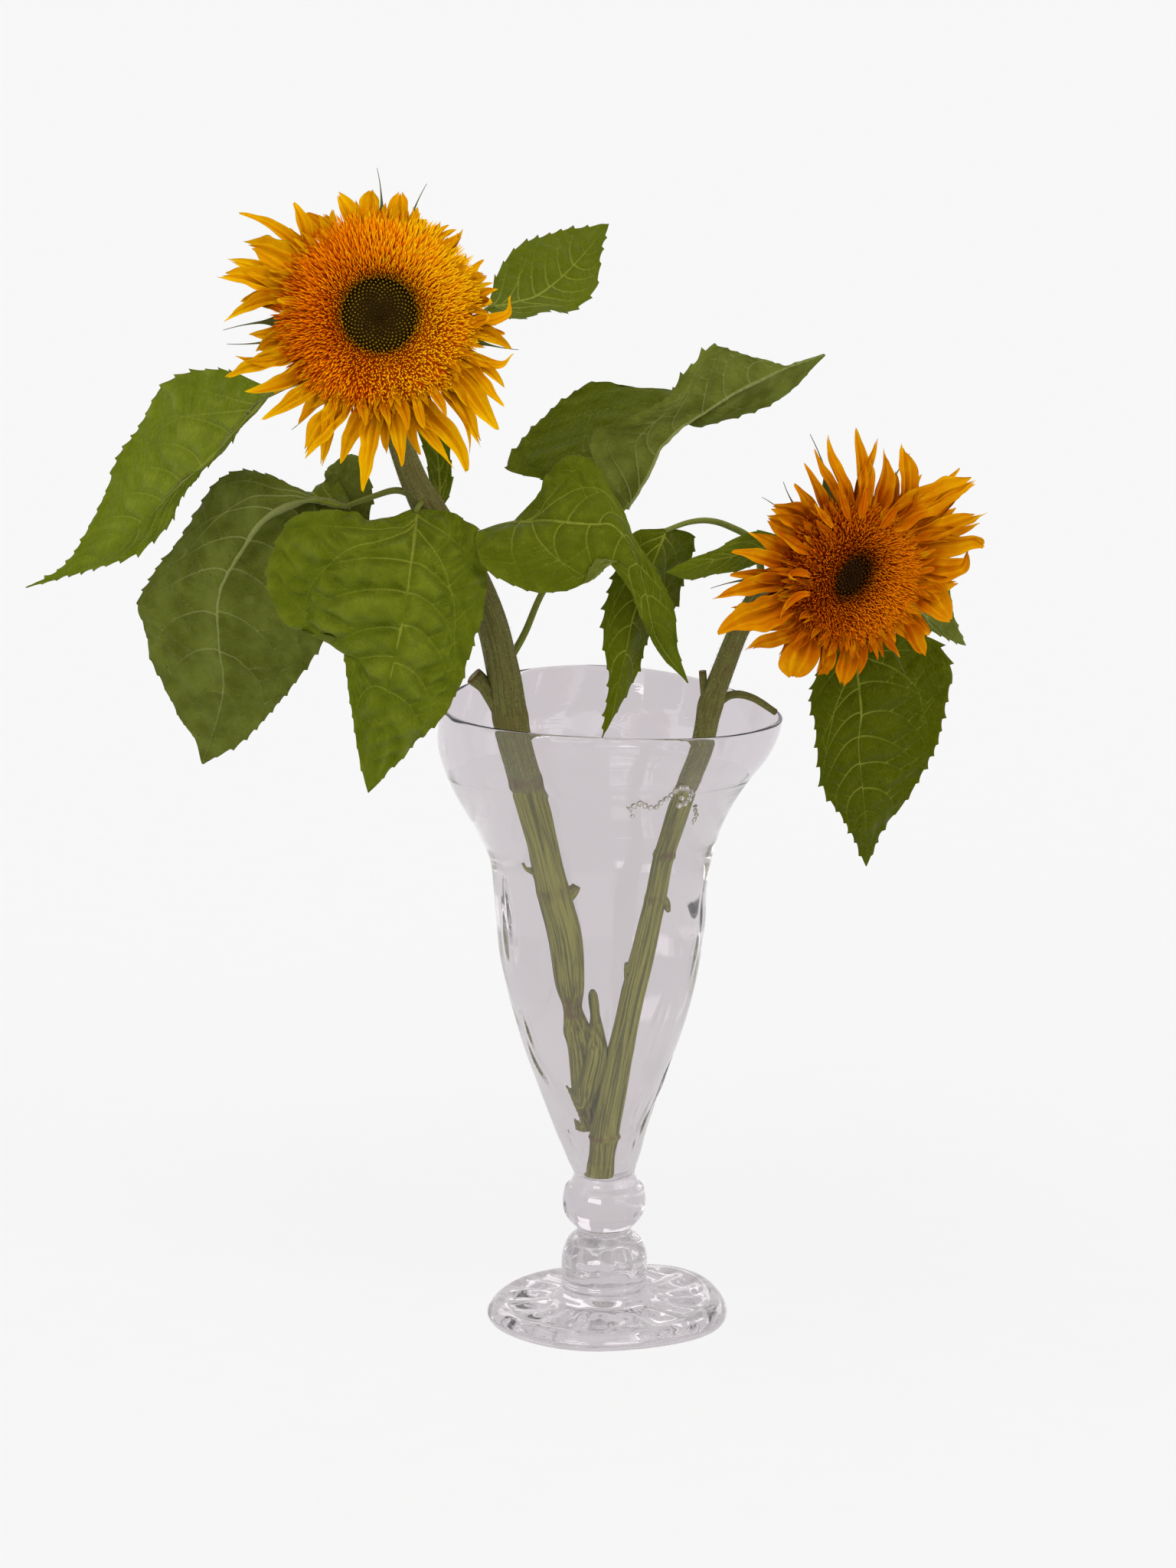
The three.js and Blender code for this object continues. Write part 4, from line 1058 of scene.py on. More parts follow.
class Blade:
    """The smooth middle surface of a leaf between its margins and its midrib."""

    def __init__(self, leaf):
        self.lines = [Path([*leaf[line], leaf["tip"]]) for line in ("one_margin", "midrib", "other_margin")]
        self.length = self.lines[1].length

    def at(self, share, across):
        """Points at shares of the length, and across from -1 to 1 with the midrib at 0."""
        share, across = np.broadcast_arrays(np.asarray(share, float), np.asarray(across, float))
        one, midrib, other = (line.at(share) for line in self.lines)
        across = across[..., None]
        return midrib + (np.where(across < 0, one, other) - midrib) * abs(across)


def side_veins(count):
    """Side veins of one half as (share on the midrib, share at the margin, kind)."""
    veins = [(0.015, 0.1, "fine"), (0.03, 0.3, "side"), (0.07, 0.62, "side")]
    for i in range(count):
        start = 0.2 + 0.66 * i / count
        veins.append((start, start + 0.24 * (1 - start) + 0.1, "side" if i < count * 0.7 else "fine"))
    return veins


def vein_lines(count, seed):
    """Lines of veins as rows of (share, across), each with its kind."""
    source = np.random.default_rng(seed)
    t = np.linspace(0, 1, 90)
    lines = [(np.column_stack([t * 0.99, np.zeros(90)]), "mid")]
    for half in (-1, 1):
        for start, end, kind in side_veins(count):
            start, end = start + source.uniform(-0.015, 0.015), min(end + source.uniform(-0.03, 0.03), 0.97)
            bow = source.uniform(1.25, 1.6)
            share = start + (end - start) * t**bow
            across = half * 0.97 * t**0.92
            lines.append((np.column_stack([share, across]), kind))
            if kind == "fine":
                continue
            for turn_off in (0.35, 0.55, 0.75):
                at = int(90 * (turn_off + source.uniform(-0.05, 0.05)))
                run = np.linspace(0, 1, 40)
                outward = share[at] - run * 0.07 * (1 if kind == "side" and start < 0.1 else 0.5)
                reach = across[at] + half * run * (1 - abs(across[at])) * 0.75
                lines.append((np.column_stack([np.maximum(outward, 0.01), reach]), "fine"))
    return lines


def vein_strength(blade, points, lines):
    """How strongly each point lies on a vein, and how far it is from the nearest one."""
    dots, sizes = [], []
    for rows, kind in lines:
        dense = Path(blade.at(rows[:, 0], rows[:, 1]))
        shares = np.linspace(0, 1, max(8, int(dense.length / 0.4)))
        dots.append(dense.at(shares))
        taper = 1 - 0.65 * shares if kind == "mid" else 1 - 0.5 * shares
        sizes.append(VEIN_WIDTH[kind] * taper)
    dots, sizes = np.vstack(dots), np.concatenate(sizes)
    tree = KDTree(len(dots))
    for i, dot in enumerate(dots):
        tree.insert(dot, i)
    tree.balance()
    near = np.array([tree.find(point)[1:] for point in points])
    size = sizes[near[:, 0].astype(int)]
    strength = np.exp(-((near[:, 1] / size) ** 2)) * np.clip(size / VEIN_WIDTH["side"], 0.3, 1.2) / 1.2
    return strength, near[:, 1]


def tooth_wave(reached, seed):
    """Saw teeth that lean towards the tip, 0 to 1, uneven in size."""
    source = np.random.default_rng(seed)
    phase = reached / TOOTH["spacing"] + 0.35 * np.sin(reached / 11 + seed)
    number = np.floor(phase).astype(int)
    sizes = source.uniform(0.45, 1.2, number.max() + 2)
    return (phase - number) ** 2.6 * sizes[number]


def leaf_sheet(shape, blade, look, seed):
    """Adds the thin closed sheet of one blade, with its teeth, veins and puckers."""
    widest = max(
        np.linalg.norm(blade.at(s, 0) - blade.at(s, side)) for s in (0.3, 0.5) for side in (-1, 1)
    )
    spacing = max(LEAF_SPACING, math.sqrt(FACES_OVER_CELLS * blade.length * widest / MOST_LEAF_FACES))
    rows = int(blade.length / spacing)
    columns = 2 * int(widest * 1.1 / spacing) + 1
    share = np.linspace(0, 0.997, rows)[:, None]
    across = np.linspace(-1, 1, columns)[None, :]
    flat = blade.at(share, across)
    reached = share * blade.length

    # Teeth along both margins, fading out at base and tip.
    fading = step_up(share, 0.06, 0.16) * (1 - step_up(share, 0.93, 0.99))
    outward = unit(np.gradient(flat, axis=1)) * np.sign(across)[..., None]
    forward = unit(np.gradient(flat, axis=0))
    for side, column in ((-1, 0), (1, -1)):
        margin = np.concatenate([[0], np.cumsum(np.linalg.norm(np.diff(flat[:, column], axis=0), axis=1))])
        teeth = (tooth_wave(margin, seed + side) * TOOTH["reach"] * look["teeth"])[:, None] * fading
        weight = np.clip((across * side - 0.86) / 0.14, 0, 1) ** 2
        flat = flat + (outward + 0.5 * forward) * (teeth * weight)[..., None]

    run, width = np.gradient(flat, axis=0), np.gradient(flat, axis=1)
    normal = unit(np.cross(run, width)) * look["upper"]
    normal[-1] = normal[-2]
    strength, distance = vein_strength(blade, flat.reshape(-1, 3), vein_lines(look["veins"], seed))
    strength, distance = strength.reshape(rows, columns), distance.reshape(rows, columns)

    # Puckered between the veins, waved along the margin.
    sheet = stacked(reached, across * widest, 0 * share)
    pillow = 1 - np.exp(-((distance / 3.4) ** 2))
    lift = 1.3 * (pillow - 0.5) + 0.6 * ripple(flat, 21, seed) + 0.34 * ripple(flat, 10, seed + 7)
    lift = look["pucker"] * lift + 0.9 * np.abs(across) ** 3 * ripple(sheet, 26, seed + 50) - 0.25 * strength
    lift = lift * step_up(share, 0, 0.08) * (1 - 0.7 * step_up(share, 0.85, 1))
    edge = np.minimum(1, 8 * (1 - np.abs(across)))
    top = flat + normal * lift[..., None]
    thick = LEAF_THICKNESS * (0.3 + 0.7 * edge) + 0.75 * strength * (1 - 0.5 * share)
    bottom = top - normal * thick[..., None]

    aside = np.linalg.norm(flat - blade.at(share, 0), axis=-1) * np.sign(across)
    grow = stacked(aside, reached, 13.7 * seed + 0 * share).reshape(-1, 3)
    faces = sheet_faces(rows, columns)
    if look["upper"] > 0:
        faces = turned_back(faces)
    shape.add(
        [top, bottom], faces, grow=twice(grow), vein=twice(strength.ravel()), cell=twice(pillow.ravel()),
        rim=twice((np.abs(across) + 0 * share).ravel()), under=np.repeat([0, 1], rows * columns),
        tone=look["tone"], spots=look["spots"], core=0,
    )


def make_leaf(name, leaf, look, seed, paint):
    shape = Shape()
    leaf_sheet(shape, Blade(leaf), look, seed)
    stalk = [[*point, 1.8 - 0.7 * i / (len(leaf["stalk"]) - 1)] for i, point in enumerate(leaf["stalk"])]
    tube(shape, stalk, 1.2, 14, tone=look["tone"], vein=0.5, under=0.6, rim=0, spots=0, cell=0.5)
    return shape.piece(name + "_blade", paint, "leaf", name)


def leaf_paint():
    paint = material("leaf", Specular_IOR_Level=0.25, Specular_Tint=(0.9, 1.0, 0.05))
    grow = paint.grown()
    tone, vein, under = paint.stored("tone"), paint.stored("vein"), paint.stored("under")
    cell = paint.stored("cell")
    broad = paint.noise(grow, 0.07, 4.0, 0.6)
    fine = paint.noise(grow, 0.5, 4.0, 0.65)
    dark = paint.mix(tone, (0.036, 0.048, 0.0005), (0.092, 0.128, 0.002))
    light = paint.mix(tone, (0.064, 0.078, 0.0005), (0.182, 0.228, 0.014))
    # Broad darker and lighter patches: partly the leaf's own uneven green, partly painted sheen and shade.
    upper = paint.mix(paint.span(broad, 0.36, 0.66, 0.15, 0.75), dark, light)
    # Painted sheen: fine flecks of the upper side turned a paler, lighter green, as if catching the light.
    painted_sheen = paint.mix(tone, (0.10, 0.115, 0.001), (0.27, 0.31, 0.06))
    upper = paint.mix(paint.times(fine, 0.22), upper, painted_sheen)
    # Painted shade: the upper side is darkened towards the veins, in the creases between the puckers.
    upper = paint.mix(paint.span(cell, 0.1, 0.9, 0.45, 0.0), upper, dark)
    lower = paint.mix(paint.span(broad, 0.3, 0.7), (0.058, 0.072, 0.004), (0.122, 0.150, 0.020))
    lower = paint.mix(paint.times(fine, 0.25), lower, (0.15, 0.16, 0.04))
    skin = paint.mix(under, upper, lower)
    net = paint.cells(grow, 0.33, feature="DISTANCE_TO_EDGE")
    threads = paint.span(net, 0.0, 0.09, 1.0, 0.0)
    net_share = paint.times(threads, 0.09)
    vein_colour = paint.mix(under, (0.25, 0.28, 0.04), (0.29, 0.31, 0.11))
    skin = paint.mix(net_share, skin, vein_colour)
    skin = paint.mix(paint.times(paint.span(vein, 0.2, 0.8), 0.68), skin, vein_colour)
    rim = paint.span(paint.stored("rim"), 0.965, 1.0, 0.0, 0.35)
    skin = paint.mix(rim, skin, (0.10, 0.095, 0.02))
    dots = paint.span(paint.cells(grow, 0.21), 0.05, 0.11, 1.0, 0.0)
    some = paint.span(paint.noise(grow, 0.06, 2.0), 0.42, 0.6)
    spotted = paint.times(paint.times(dots, some), paint.stored("spots"))
    skin = paint.mix(spotted, skin, (0.012, 0.010, 0.003))
    paint.coat(Base_Color=skin)
    paint.coat(Roughness=paint.mix(under, (0.4,) * 3, (0.7,) * 3))
    rough = paint.plus(paint.times(threads, -0.6), paint.times(fine, 0.5))
    paint.coat(Normal=paint.bump(rough, 0.0005, 0.6))
    return paint.owner


# ------------------------------------------------------------------ flower heads

# Petals as [degrees of the tip round the face, reach, degrees of the root, bow to the left, width, tip,
# rise]. The first list stands for the solids of the same number. Inner ones also have the root's radius and
# height.
LEFT_HEAD = {
    "centre": [-99, -106, 495], "facing": [0.05, -0.96, 0.27], "disc": 16.5, "ring": 42, "root": 33,
    "neck": 6.6, "upper_lean": 0.35, "oval": [0, 0.0], "florets_per_mm2": 0.95, "budding": 0.17,
    "petals": [
        [6, 63, 351, -3.4, 6, "hook", -2], [29, 53, 21, -0.8, 6, "point", -3],
        [47, 54, 43, -0.5, 6, "point", -2], [62, 52, 68, 0.8, 7, "curl", -2],
        [80, 57, 72, 1.7, 10, "tooth", -3], [93, 57, 93, 0, 9, "blunt", -2],
        [108, 59, 105, -1.2, 8, "tooth", -3], [126, 64, 136, 2, 8, "point", -4],
        [143, 77, 143, -3.6, 6, "point", -1], [165, 74, 162, -0.6, 12, "tooth", -3],
        [181, 69, 170, -5, 8, "point", -4], [201, 73, 206, -0.9, 8, "point", -4],
        [221, 69, 235, -1, 8, "point", -3], [241, 71, 250, 0.3, 12, "tooth", -4],
        [264, 78, 270, 0.1, 10, "point", -2], [278, 67, 275, 1, 8, "point", -4],
        [299, 78, 295, 0.9, 11, "point", -5], [316, 72, 322, 1.4, 11, "point", -5],
        [341, 65, 336, -3.5, 6, "hook", -3],
    ],
    "more": [
        [3, 55, 11, 1.8, 6, "curl", 0], [36, 48, 25, -1.1, 4, "point", 0], [58, 51, 54, 0, 5, "tooth", -3],
        [117, 53, 115, -0.4, 5, "tooth", -5], [124, 58, 123, -1, 9, "point", -6],
        [151, 69, 147, -1.3, 14, "tooth", -5], [159, 72, 160, 0.8, 8, "tooth", -1],
        [195, 56, 193, -0.9, 10, "point", -6], [195, 66, 212, 2.2, 6, "point", -1],
        [209, 68, 228, 0.7, 8, "point", -2], [248, 71, 241, -1.6, 6, "tooth", -7],
        [255, 67, 262, -0.2, 8, "point", -4], [296, 76, 284, -1.7, 7, "point", -2],
        [302, 73, 313, 3.6, 3.5, "point", -2], [308, 73, 318, 1.4, 7, "tooth", -7],
        [324, 68, 330, 1.6, 7, "point", -3], [330, 63, 339, 0.7, 7, "point", -5],
        [346, 60, 357, 1, 8, "point", -4], [14, 54, 8, 0.5, 6, "point", -4],
        [22, 51, 29, 0.4, 5, "tooth", -3], [71, 53, 70, 0.5, 6, "point", -5],
        [86, 52, 86, 0.3, 6, "point", -4], [101, 54, 101, 0.3, 6, "tooth", -5],
        [134, 57, 141, 1, 8, "point", -5], [172, 62, 170, -1, 9, "point", -5],
        [187, 58, 189, 0.5, 7, "point", -6], [232, 61, 237, 0.4, 7, "point", -6],
        [272, 60, 273, 0.4, 7, "point", -6], [286, 63, 284, -0.4, 7, "point", -7],
        [353, 56, 350, 0.3, 6, "point", -5], [215, 57, 218, 0.3, 7, "point", -7],
        [334, 58, 331, 0.4, 6, "point", -6],
    ],
    "inner": [
        [283, 53, 283, 0.5, 6, "point", 0, 36, 2], [291, 55, 293, -0.4, 5, "tooth", -1, 38, 1],
        [274, 51, 272, 0.4, 5, "point", -1, 37, 1], [302, 54, 304, 0.4, 5, "point", 0, 38, 1],
        [262, 50, 259, -0.4, 4.5, "point", 0, 38, 1], [176, 50, 172, -1.5, 4, "curl", 2, 30, 5],
        [46, 50, 43, 0.5, 4, "point", 1, 37, 2], [357, 52, 352, 0.8, 5, "curl", 1, 38, 1],
    ],
    "threads": [[88, 70], [72, 67], [180, 71], [191, 70], [348, 65], [235, 64]],
}
RIGHT_HEAD = {
    "centre": [111, -96, 377], "facing": [0.28, -0.955, 0.05], "disc": 8, "ring": 31, "root": 26, "neck": 6,
    "upper_lean": 0.12, "oval": [52, 0.22], "florets_per_mm2": 1.25, "budding": 0.24,
    "petals": [
        [3, 62, 8, -2.5, 11, "hook", -4], [21, 72, 36, -1.4, 9, "tooth", -3],
        [34, 73, 55, 0.7, 14, "tooth", -2], [50, 57, 54, 0.5, 7, "point", -5],
        [66, 64, 52, -6, 9, "blunt", -2], [87, 66, 81, -2, 8, "point", -2],
        [98, 64, 90, 0.5, 6, "tooth", -4], [112, 55, 110, 0.4, 5, "point", -3],
        [138, 48, 122, -1, 13, "tooth", -3], [155, 50, 158, 0.1, 8, "point", -5],
        [167, 56, 168, -0.1, 8, "point", -3], [187, 64, 180, -1, 9, "point", -4],
        [201, 66, 197, -0.5, 15, "point", -2], [215, 58, 223, 0.7, 8, "tooth", -5],
        [240, 53, 230, -1.1, 15, "blunt", -3], [266, 50, 268, 0.5, 10, "tooth", -2],
        [302, 46, 300, -0.8, 5, "point", -2], [313, 54, 319, 0.6, 9, "tooth", -4],
        [335, 56, 350, 1, 16, "point", -5],
    ],
    "more": [
        [13, 71, 19, 0.6, 10, "hook", -2], [17, 68, 31, 0.2, 7, "point", -5],
        [31, 73, 44, -0.7, 8, "point", -5], [39, 72, 50, 0.5, 6, "point", -7],
        [72, 59, 65, -1.2, 9, "point", -4], [77, 63, 81, 3.6, 4, "tooth", -1],
        [105, 59, 95, -0.4, 5, "point", -2], [144, 46, 134, -0.3, 12, "tooth", -5],
        [354, 54, 359, -1.2, 9, "tooth", -2], [259, 46, 246, -1.5, 7, "point", -5],
        [94, 52, 92, 0.3, 5, "point", -5], [120, 48, 118, 0.4, 6, "point", -5],
        [178, 54, 176, 0.4, 7, "point", -6], [194, 55, 191, 0.4, 8, "point", -6],
        [208, 52, 210, 0.3, 8, "point", -6], [228, 48, 226, 0.3, 8, "tooth", -6],
        [252, 47, 250, 0.3, 8, "tooth", -5], [277, 46, 276, 0.3, 6, "point", -5],
        [324, 50, 328, 0.3, 7, "point", -6], [345, 52, 348, 0.3, 9, "point", -6],
        [28, 60, 32, 0.4, 9, "point", -6], [61, 52, 58, 0.4, 7, "point", -6],
    ],
    "inner": [
        [41, 44, 50, 0.2, 4, "blunt", 1, 26, 6], [56, 39, 66, 1.8, 4, "point", 2, 23, 7],
        [181, 36, 172, -3, 4, "curl", 3, 23, 6], [204, 40, 192, -3.2, 4, "point", 1, 23, 6],
        [102, 44, 99, 0.5, 3.5, "point", 1, 26, 5], [120, 40, 117, 0.5, 3.5, "point", 1, 26, 5],
        [150, 44, 150, 0.5, 5, "point", 0, 26, 4], [84, 42, 86, 0.5, 4, "point", 1, 26, 5],
    ],
    "threads": [[133, 54], [126, 52], [99, 66], [60, 64], [181, 64], [303, 58]],
}
CALYX_FOOT = -26
PETAL_THICKNESS = 0.3
OUTLINES = {
    "point": [
        [0, 0.5], [0.2, 0.8], [0.4, 1], [0.58, 0.88], [0.74, 0.62], [0.87, 0.4], [0.95, 0.26], [1, 0.12],
    ],
    "blunt": [[0, 0.45], [0.25, 0.74], [0.55, 1], [0.78, 0.9], [0.92, 0.6], [1, 0.2]],
    "tooth": [[0, 0.5], [0.22, 0.78], [0.45, 1], [0.65, 0.92], [0.82, 0.66], [0.93, 0.4], [1, 0.22]],
}
OUTLINES["hook"] = OUTLINES["curl"] = OUTLINES["point"]
TIP_NOTCH = {"tooth": 0.075, "blunt": 0.02, "point": 0.0, "hook": 0.0, "curl": 0.0}
HOOK = {"from": 0.68, "reach": 4.5}
CURL = {"from": 0.6, "turn": 3.2}
GROOVE = 0.26  # depth, as a share of the half width
PETAL_COLOURS = {"from": 33, "over": 38}  # the radius where a petal's colours start, and how far they run
SMALL_RAYS = 80
SMALL_RAY_WIDTH = (2.2, 4.2)


def petal(shape, place, angle, reach, root_angle, bow, width, tip, rise, root, base, source, tone,
          rows=30, columns=15):
    """A thin petal from its root to its tip; place takes points of the head to the frame of the part."""
    steps = 60
    s = np.linspace(0, 1, steps)
    turns = np.radians([root_angle, angle])
    start, end = (
        size * np.array([np.cos(turn), np.sin(turn)]) for size, turn in zip((root, reach), turns)
    )
    length = np.linalg.norm(end - start)
    ahead = (end - start) / length
    left = np.array([-ahead[1], ahead[0]])
    forward = length * s
    lateral = 4 * bow * s * (1 - s) + source.uniform(-0.035, 0.035) * length * np.sin(2 * math.pi * s)
    height = base + rise * s**2 + 0.06 * length * np.sin(math.pi * s)
    height = height + source.uniform(-0.05, 0.05) * length * np.sin(2 * math.pi * s)
    if tip == "hook":
        bend = step_up(s, HOOK["from"], 1)
        lateral = lateral - np.sign(bow) * HOOK["reach"] * bend**1.5
        forward = forward - 0.1 * length * bend**2
    if tip == "curl":
        roll = np.clip((s - CURL["from"]) / (1 - CURL["from"]), 0, 1) * CURL["turn"]
        circle = (1 - CURL["from"]) * length / CURL["turn"]
        forward = np.minimum(forward, CURL["from"] * length) + circle * np.sin(roll)
        height = height + circle * (1 - np.cos(roll))
    flat = start + forward[:, None] * ahead + lateral[:, None] * left
    centre = np.column_stack([flat, height])
    course = ahead + np.gradient(4 * bow * s * (1 - s), length * s)[:, None] * left
    side = np.column_stack([-course[:, 1], course[:, 0], 0 * s])
    side /= np.linalg.norm(side, axis=1, keepdims=True)
    heading = unit(np.gradient(centre, axis=0))
    normal = unit(np.cross(heading, side))
    twist = source.uniform(-0.75, 0.75) * s**1.5 + source.uniform(-0.25, 0.25)
    fold = source.uniform(0.5, 1.5)
    over = np.linspace(-1, 1, columns)[None, :]
    along = np.linspace(0, 1, rows)[:, None]
    lean = source.uniform(-0.08, 0.08)
    where = along * (1 - TIP_NOTCH[tip] * (1 - np.cos(2.5 * math.pi * over)) / 2 * step_up(along, 0.6, 1))
    where = where * (1 + lean * over * along - abs(lean) * along)
    half = width / 2 * table(OUTLINES[tip])(along)
    seed = int(angle * 7 + reach)
    u = over * half * (1 + 0.14 * ripple(stacked(where * length, 9 * np.sign(over)), 13, seed))
    ruffle = ripple(stacked(where * length, 3 * over), 12, seed + 1)
    w = half * (fold * (np.abs(over) ** 1.4 - 0.4) + 0.14 * ruffle * np.abs(over))
    w = w - GROOVE * half * np.cos(3 * math.pi * over) * np.sin(math.pi * np.clip(where, 0, 1)) ** 0.5
    turn = np.interp(where, s, twist)
    u, w = u * np.cos(turn) - w * np.sin(turn), u * np.sin(turn) + w * np.cos(turn)

    def fit(rows_of):
        return np.stack([np.interp(where, s, column) for column in rows_of.T], -1)

    thin = PETAL_THICKNESS * (0.35 + 0.65 * np.minimum(1, 4 * (1 - np.abs(over)))) * (1.1 - 0.6 * along)
    top = fit(centre) + fit(side) * u[..., None] + fit(normal) * w[..., None]
    bottom = top - fit(normal) * thin[..., None]
    grow = stacked(over * half, where * length, 0 * where + 5.3 * angle).reshape(-1, 3)
    reached = (where * length + root - PETAL_COLOURS["from"]) / PETAL_COLOURS["over"]
    shape.add(
        place(np.reshape([top, bottom], (-1, 3))), turned_back(sheet_faces(rows, columns)),
        grow=twice(grow), along=twice((reached + 0 * over).ravel()),
        tone=tone + source.uniform(-0.3, 0.3),
    )


RING_HEIGHTS = [[0, 0], [6, 0.8], [12, 0.6], [17, 1.6], [22, 5], [28, 7.5], [36, 5], [42, -1.5], [50, -6]]


def ring_height(radius, head):
    """Height of the domed face, whose inner edge starts at the disc."""
    ring = head["ring"]
    shifted = np.interp(radius, [0, head["disc"] + 1, ring * 0.67, ring * 1.4], [0, 17, 28, 59])
    return table(RING_HEIGHTS)(shifted) * ring / 42 - 2 * (1 - ring / 42)


def spikes(shape, place, roots, leans, lengths, radii, bends, sides, **values):
    """Many small pointed tubes, each from its root along its lean, bending a little."""
    count = len(roots)
    levels = np.array([0, 0.35, 0.7, 0.88])
    girths = np.array([0.65, 0.85, 1.0, 0.72])
    first = unit(np.cross(leans, np.roll(leans, 1, axis=1) + [0.3, 0.1, 0.2]))
    second = np.cross(leans, first)
    angle = np.linspace(0, 2 * math.pi, sides, endpoint=False)
    rings = []
    for level, girth in zip(levels, girths):
        middle = roots + leans * (lengths * level)[:, None] + bends * (level**2 * lengths)[:, None]
        circle = first[:, None] * np.cos(angle)[:, None] + second[:, None] * np.sin(angle)[:, None]
        rings.append(middle[:, None] + circle * (radii * girth)[:, None, None])
    tips = roots + leans * lengths[:, None] + bends * lengths[:, None]
    each = np.concatenate([*rings, roots[:, None], tips[:, None]], axis=1)
    size = each.shape[1]
    pattern = ring_faces(len(levels), sides)
    faces = [[corner + size * k for corner in face] for k in range(count) for face in pattern]
    along = np.tile([*np.repeat(levels, sides), 0, 1], count)
    spread = {key: np.repeat(value, size) for key, value in values.items()}
    shape.add(place(each.reshape(-1, 3)), faces, along=along, grow=np.repeat(roots, size, axis=0), **spread)


FLORET_LENGTH = {"inner": 4.0, "more_outside": 2.4, "more_where_long": 8}
FLORET_RADIUS = (0.34, 0.5)
SUNNY_SIDE = 0.55  # how much lighter and yellower the florets are painted to the right than to the left, as painted light from the right
DISC_GAP = 0.86  # from bud to bud


def make_florets(side, head, place, paint, source):
    """The dense ring of small tube-shaped flowers between disc and petals."""
    shape = Shape()
    inner, outer = head["disc"] * 0.98, head["ring"] + 1.5
    count = int(head["florets_per_mm2"] * math.pi * outer**2)
    number = np.arange(count) + 0.5
    radius = outer * np.sqrt(number / count)
    keep = radius > inner
    radius = radius[keep] + source.normal(0, 0.25, keep.sum())
    angle = number[keep] * GOLDEN_ANGLE + source.normal(0, 0.015, keep.sum())
    share = (radius - inner) / (outer - inner)
    long = np.maximum(np.clip(np.sin(angle) + 0.3, 0, 1), np.clip(-np.cos(angle), 0, 1) * 0.8)
    long = long * head["upper_lean"] / 0.35
    lean = -0.1 + 0.75 * share + long * (0.12 + 0.75 * share) + source.normal(0, 0.1, len(radius))
    sideways = source.normal(0, 0.12, len(radius))
    radial = np.stack([np.cos(angle), np.sin(angle), 0 * angle], 1)
    around = np.stack([-np.sin(angle), np.cos(angle), 0 * angle], 1)
    leans = radial * np.sin(lean)[:, None] + around * sideways[:, None]
    leans[:, 2] += np.cos(lean)
    leans = unit(leans)
    lengths = FLORET_LENGTH["inner"] + FLORET_LENGTH["more_outside"] * share
    lengths = lengths + FLORET_LENGTH["more_where_long"] * long * (0.12 + 0.88 * share)
    lengths = lengths + source.normal(0, 0.6, len(radius))
    heights = ring_height(radius, head) + source.normal(0, 0.45, len(radius))
    tips = radial * radius[:, None]
    tips[:, 2] = heights
    roots = tips - leans * (lengths * 0.72)[:, None]
    radii = source.uniform(*FLORET_RADIUS, len(radius)) * (0.62 + 0.43 * share)
    radii = radii * math.sqrt(0.92 / head["florets_per_mm2"])
    bends = source.normal(0, 0.09, (len(radius), 3)) * (1 - 0.6 * long)[:, None]
    bends = bends + radial * (0.1 * share)[:, None]
    tones = source.uniform(0, 1, len(radius))
    ages = step_up(share + source.normal(0, 0.04, len(radius)), -0.08, head["budding"])
    # Painted light: florets on the right are turned yellower and those on the left redder and darker, as if
    # lit from the right.
    sunny = SUNNY_SIDE * radius * (0.95 * np.cos(angle) - 0.1 * np.sin(angle)) / outer
    spikes(shape, place, roots, leans, lengths, radii, bends, sides=4, tone=tones, age=ages, sunny=sunny)
    # The bed under them, so that no gap shows between their roots.
    ring = head["ring"] - 1
    face = [[r, ring_height(r, head) - 2.6] for r in np.linspace(head["disc"], ring, 12)]
    bed = np.array([[0, -8.5], [ring, -8.5], *face[::-1], [head["disc"], -6.4], [0, -6.5]])
    points, faces = turned(bed, 48, upright)
    age = np.clip(np.hypot(*points[:, :2].T) / ring, 0, 1)
    shape.add(place(points), faces, along=0.3, tone=0.3, age=age, grow=points, sunny=0)
    return shape.piece(side + "_florets", paint, "floret", side + "_floret_ring")


def make_disc(side, head, place, paint, source):
    """Unopened flowers in the dark middle, in the spirals of a seed head."""
    shape = Shape()
    edge = head["disc"] + 1.2
    count = int((edge / DISC_GAP) ** 2 * math.pi / 3.3)
    number = np.arange(count) + 0.5
    radius = edge * np.sqrt(number / count)
    angle = number * GOLDEN_ANGLE
    share = radius / edge
    radial = np.stack([np.cos(angle), np.sin(angle), 0 * angle], 1)
    leans = unit(radial * (0.5 * share - 0.35)[:, None] + np.array([0, 0, 1]))
    heights = ring_height(radius, head) - 0.3 * (1 - share) - 0.5 * step_up(share, 0.8, 1)
    lengths = 2.0 + 1.0 * share
    roots = radial * radius[:, None]
    roots[:, 2] = heights - lengths * 0.8
    radii = np.full(count, 0.39) + 0.05 * share
    tones = np.clip(share + source.normal(0, 0.09, count), 0, 1)
    spikes(shape, place, roots, leans, lengths, radii, 0 * roots, sides=6, tone=tones, age=0 * tones)
    bed = np.array([[0, -6.3], [edge, -6.3], [edge, -2.6], [edge * 0.6, -2.0], [0, -2.2]])
    points, faces = turned(bed, 40, upright)
    shape.add(place(points), faces, along=0.0, tone=0.2, age=0, grow=points)
    return shape.piece(side + "_seed_disc", paint, "disc", side + "_disc")


# Layers of bracts, inner to outer: count, radius and height of the root, width, reach.
BRACT_LAYERS = ((14, 9, -25, 13, 40), (15, 15, -23.4, 13, 44), (16, 21, -20.6, 12, 47))
CUP = [[0, -26], [7, -26], [10, -25.6], [14, -24], [24, -19], [33, -12.5], [36.5, -9.5], [36, -8], [0, -8]]


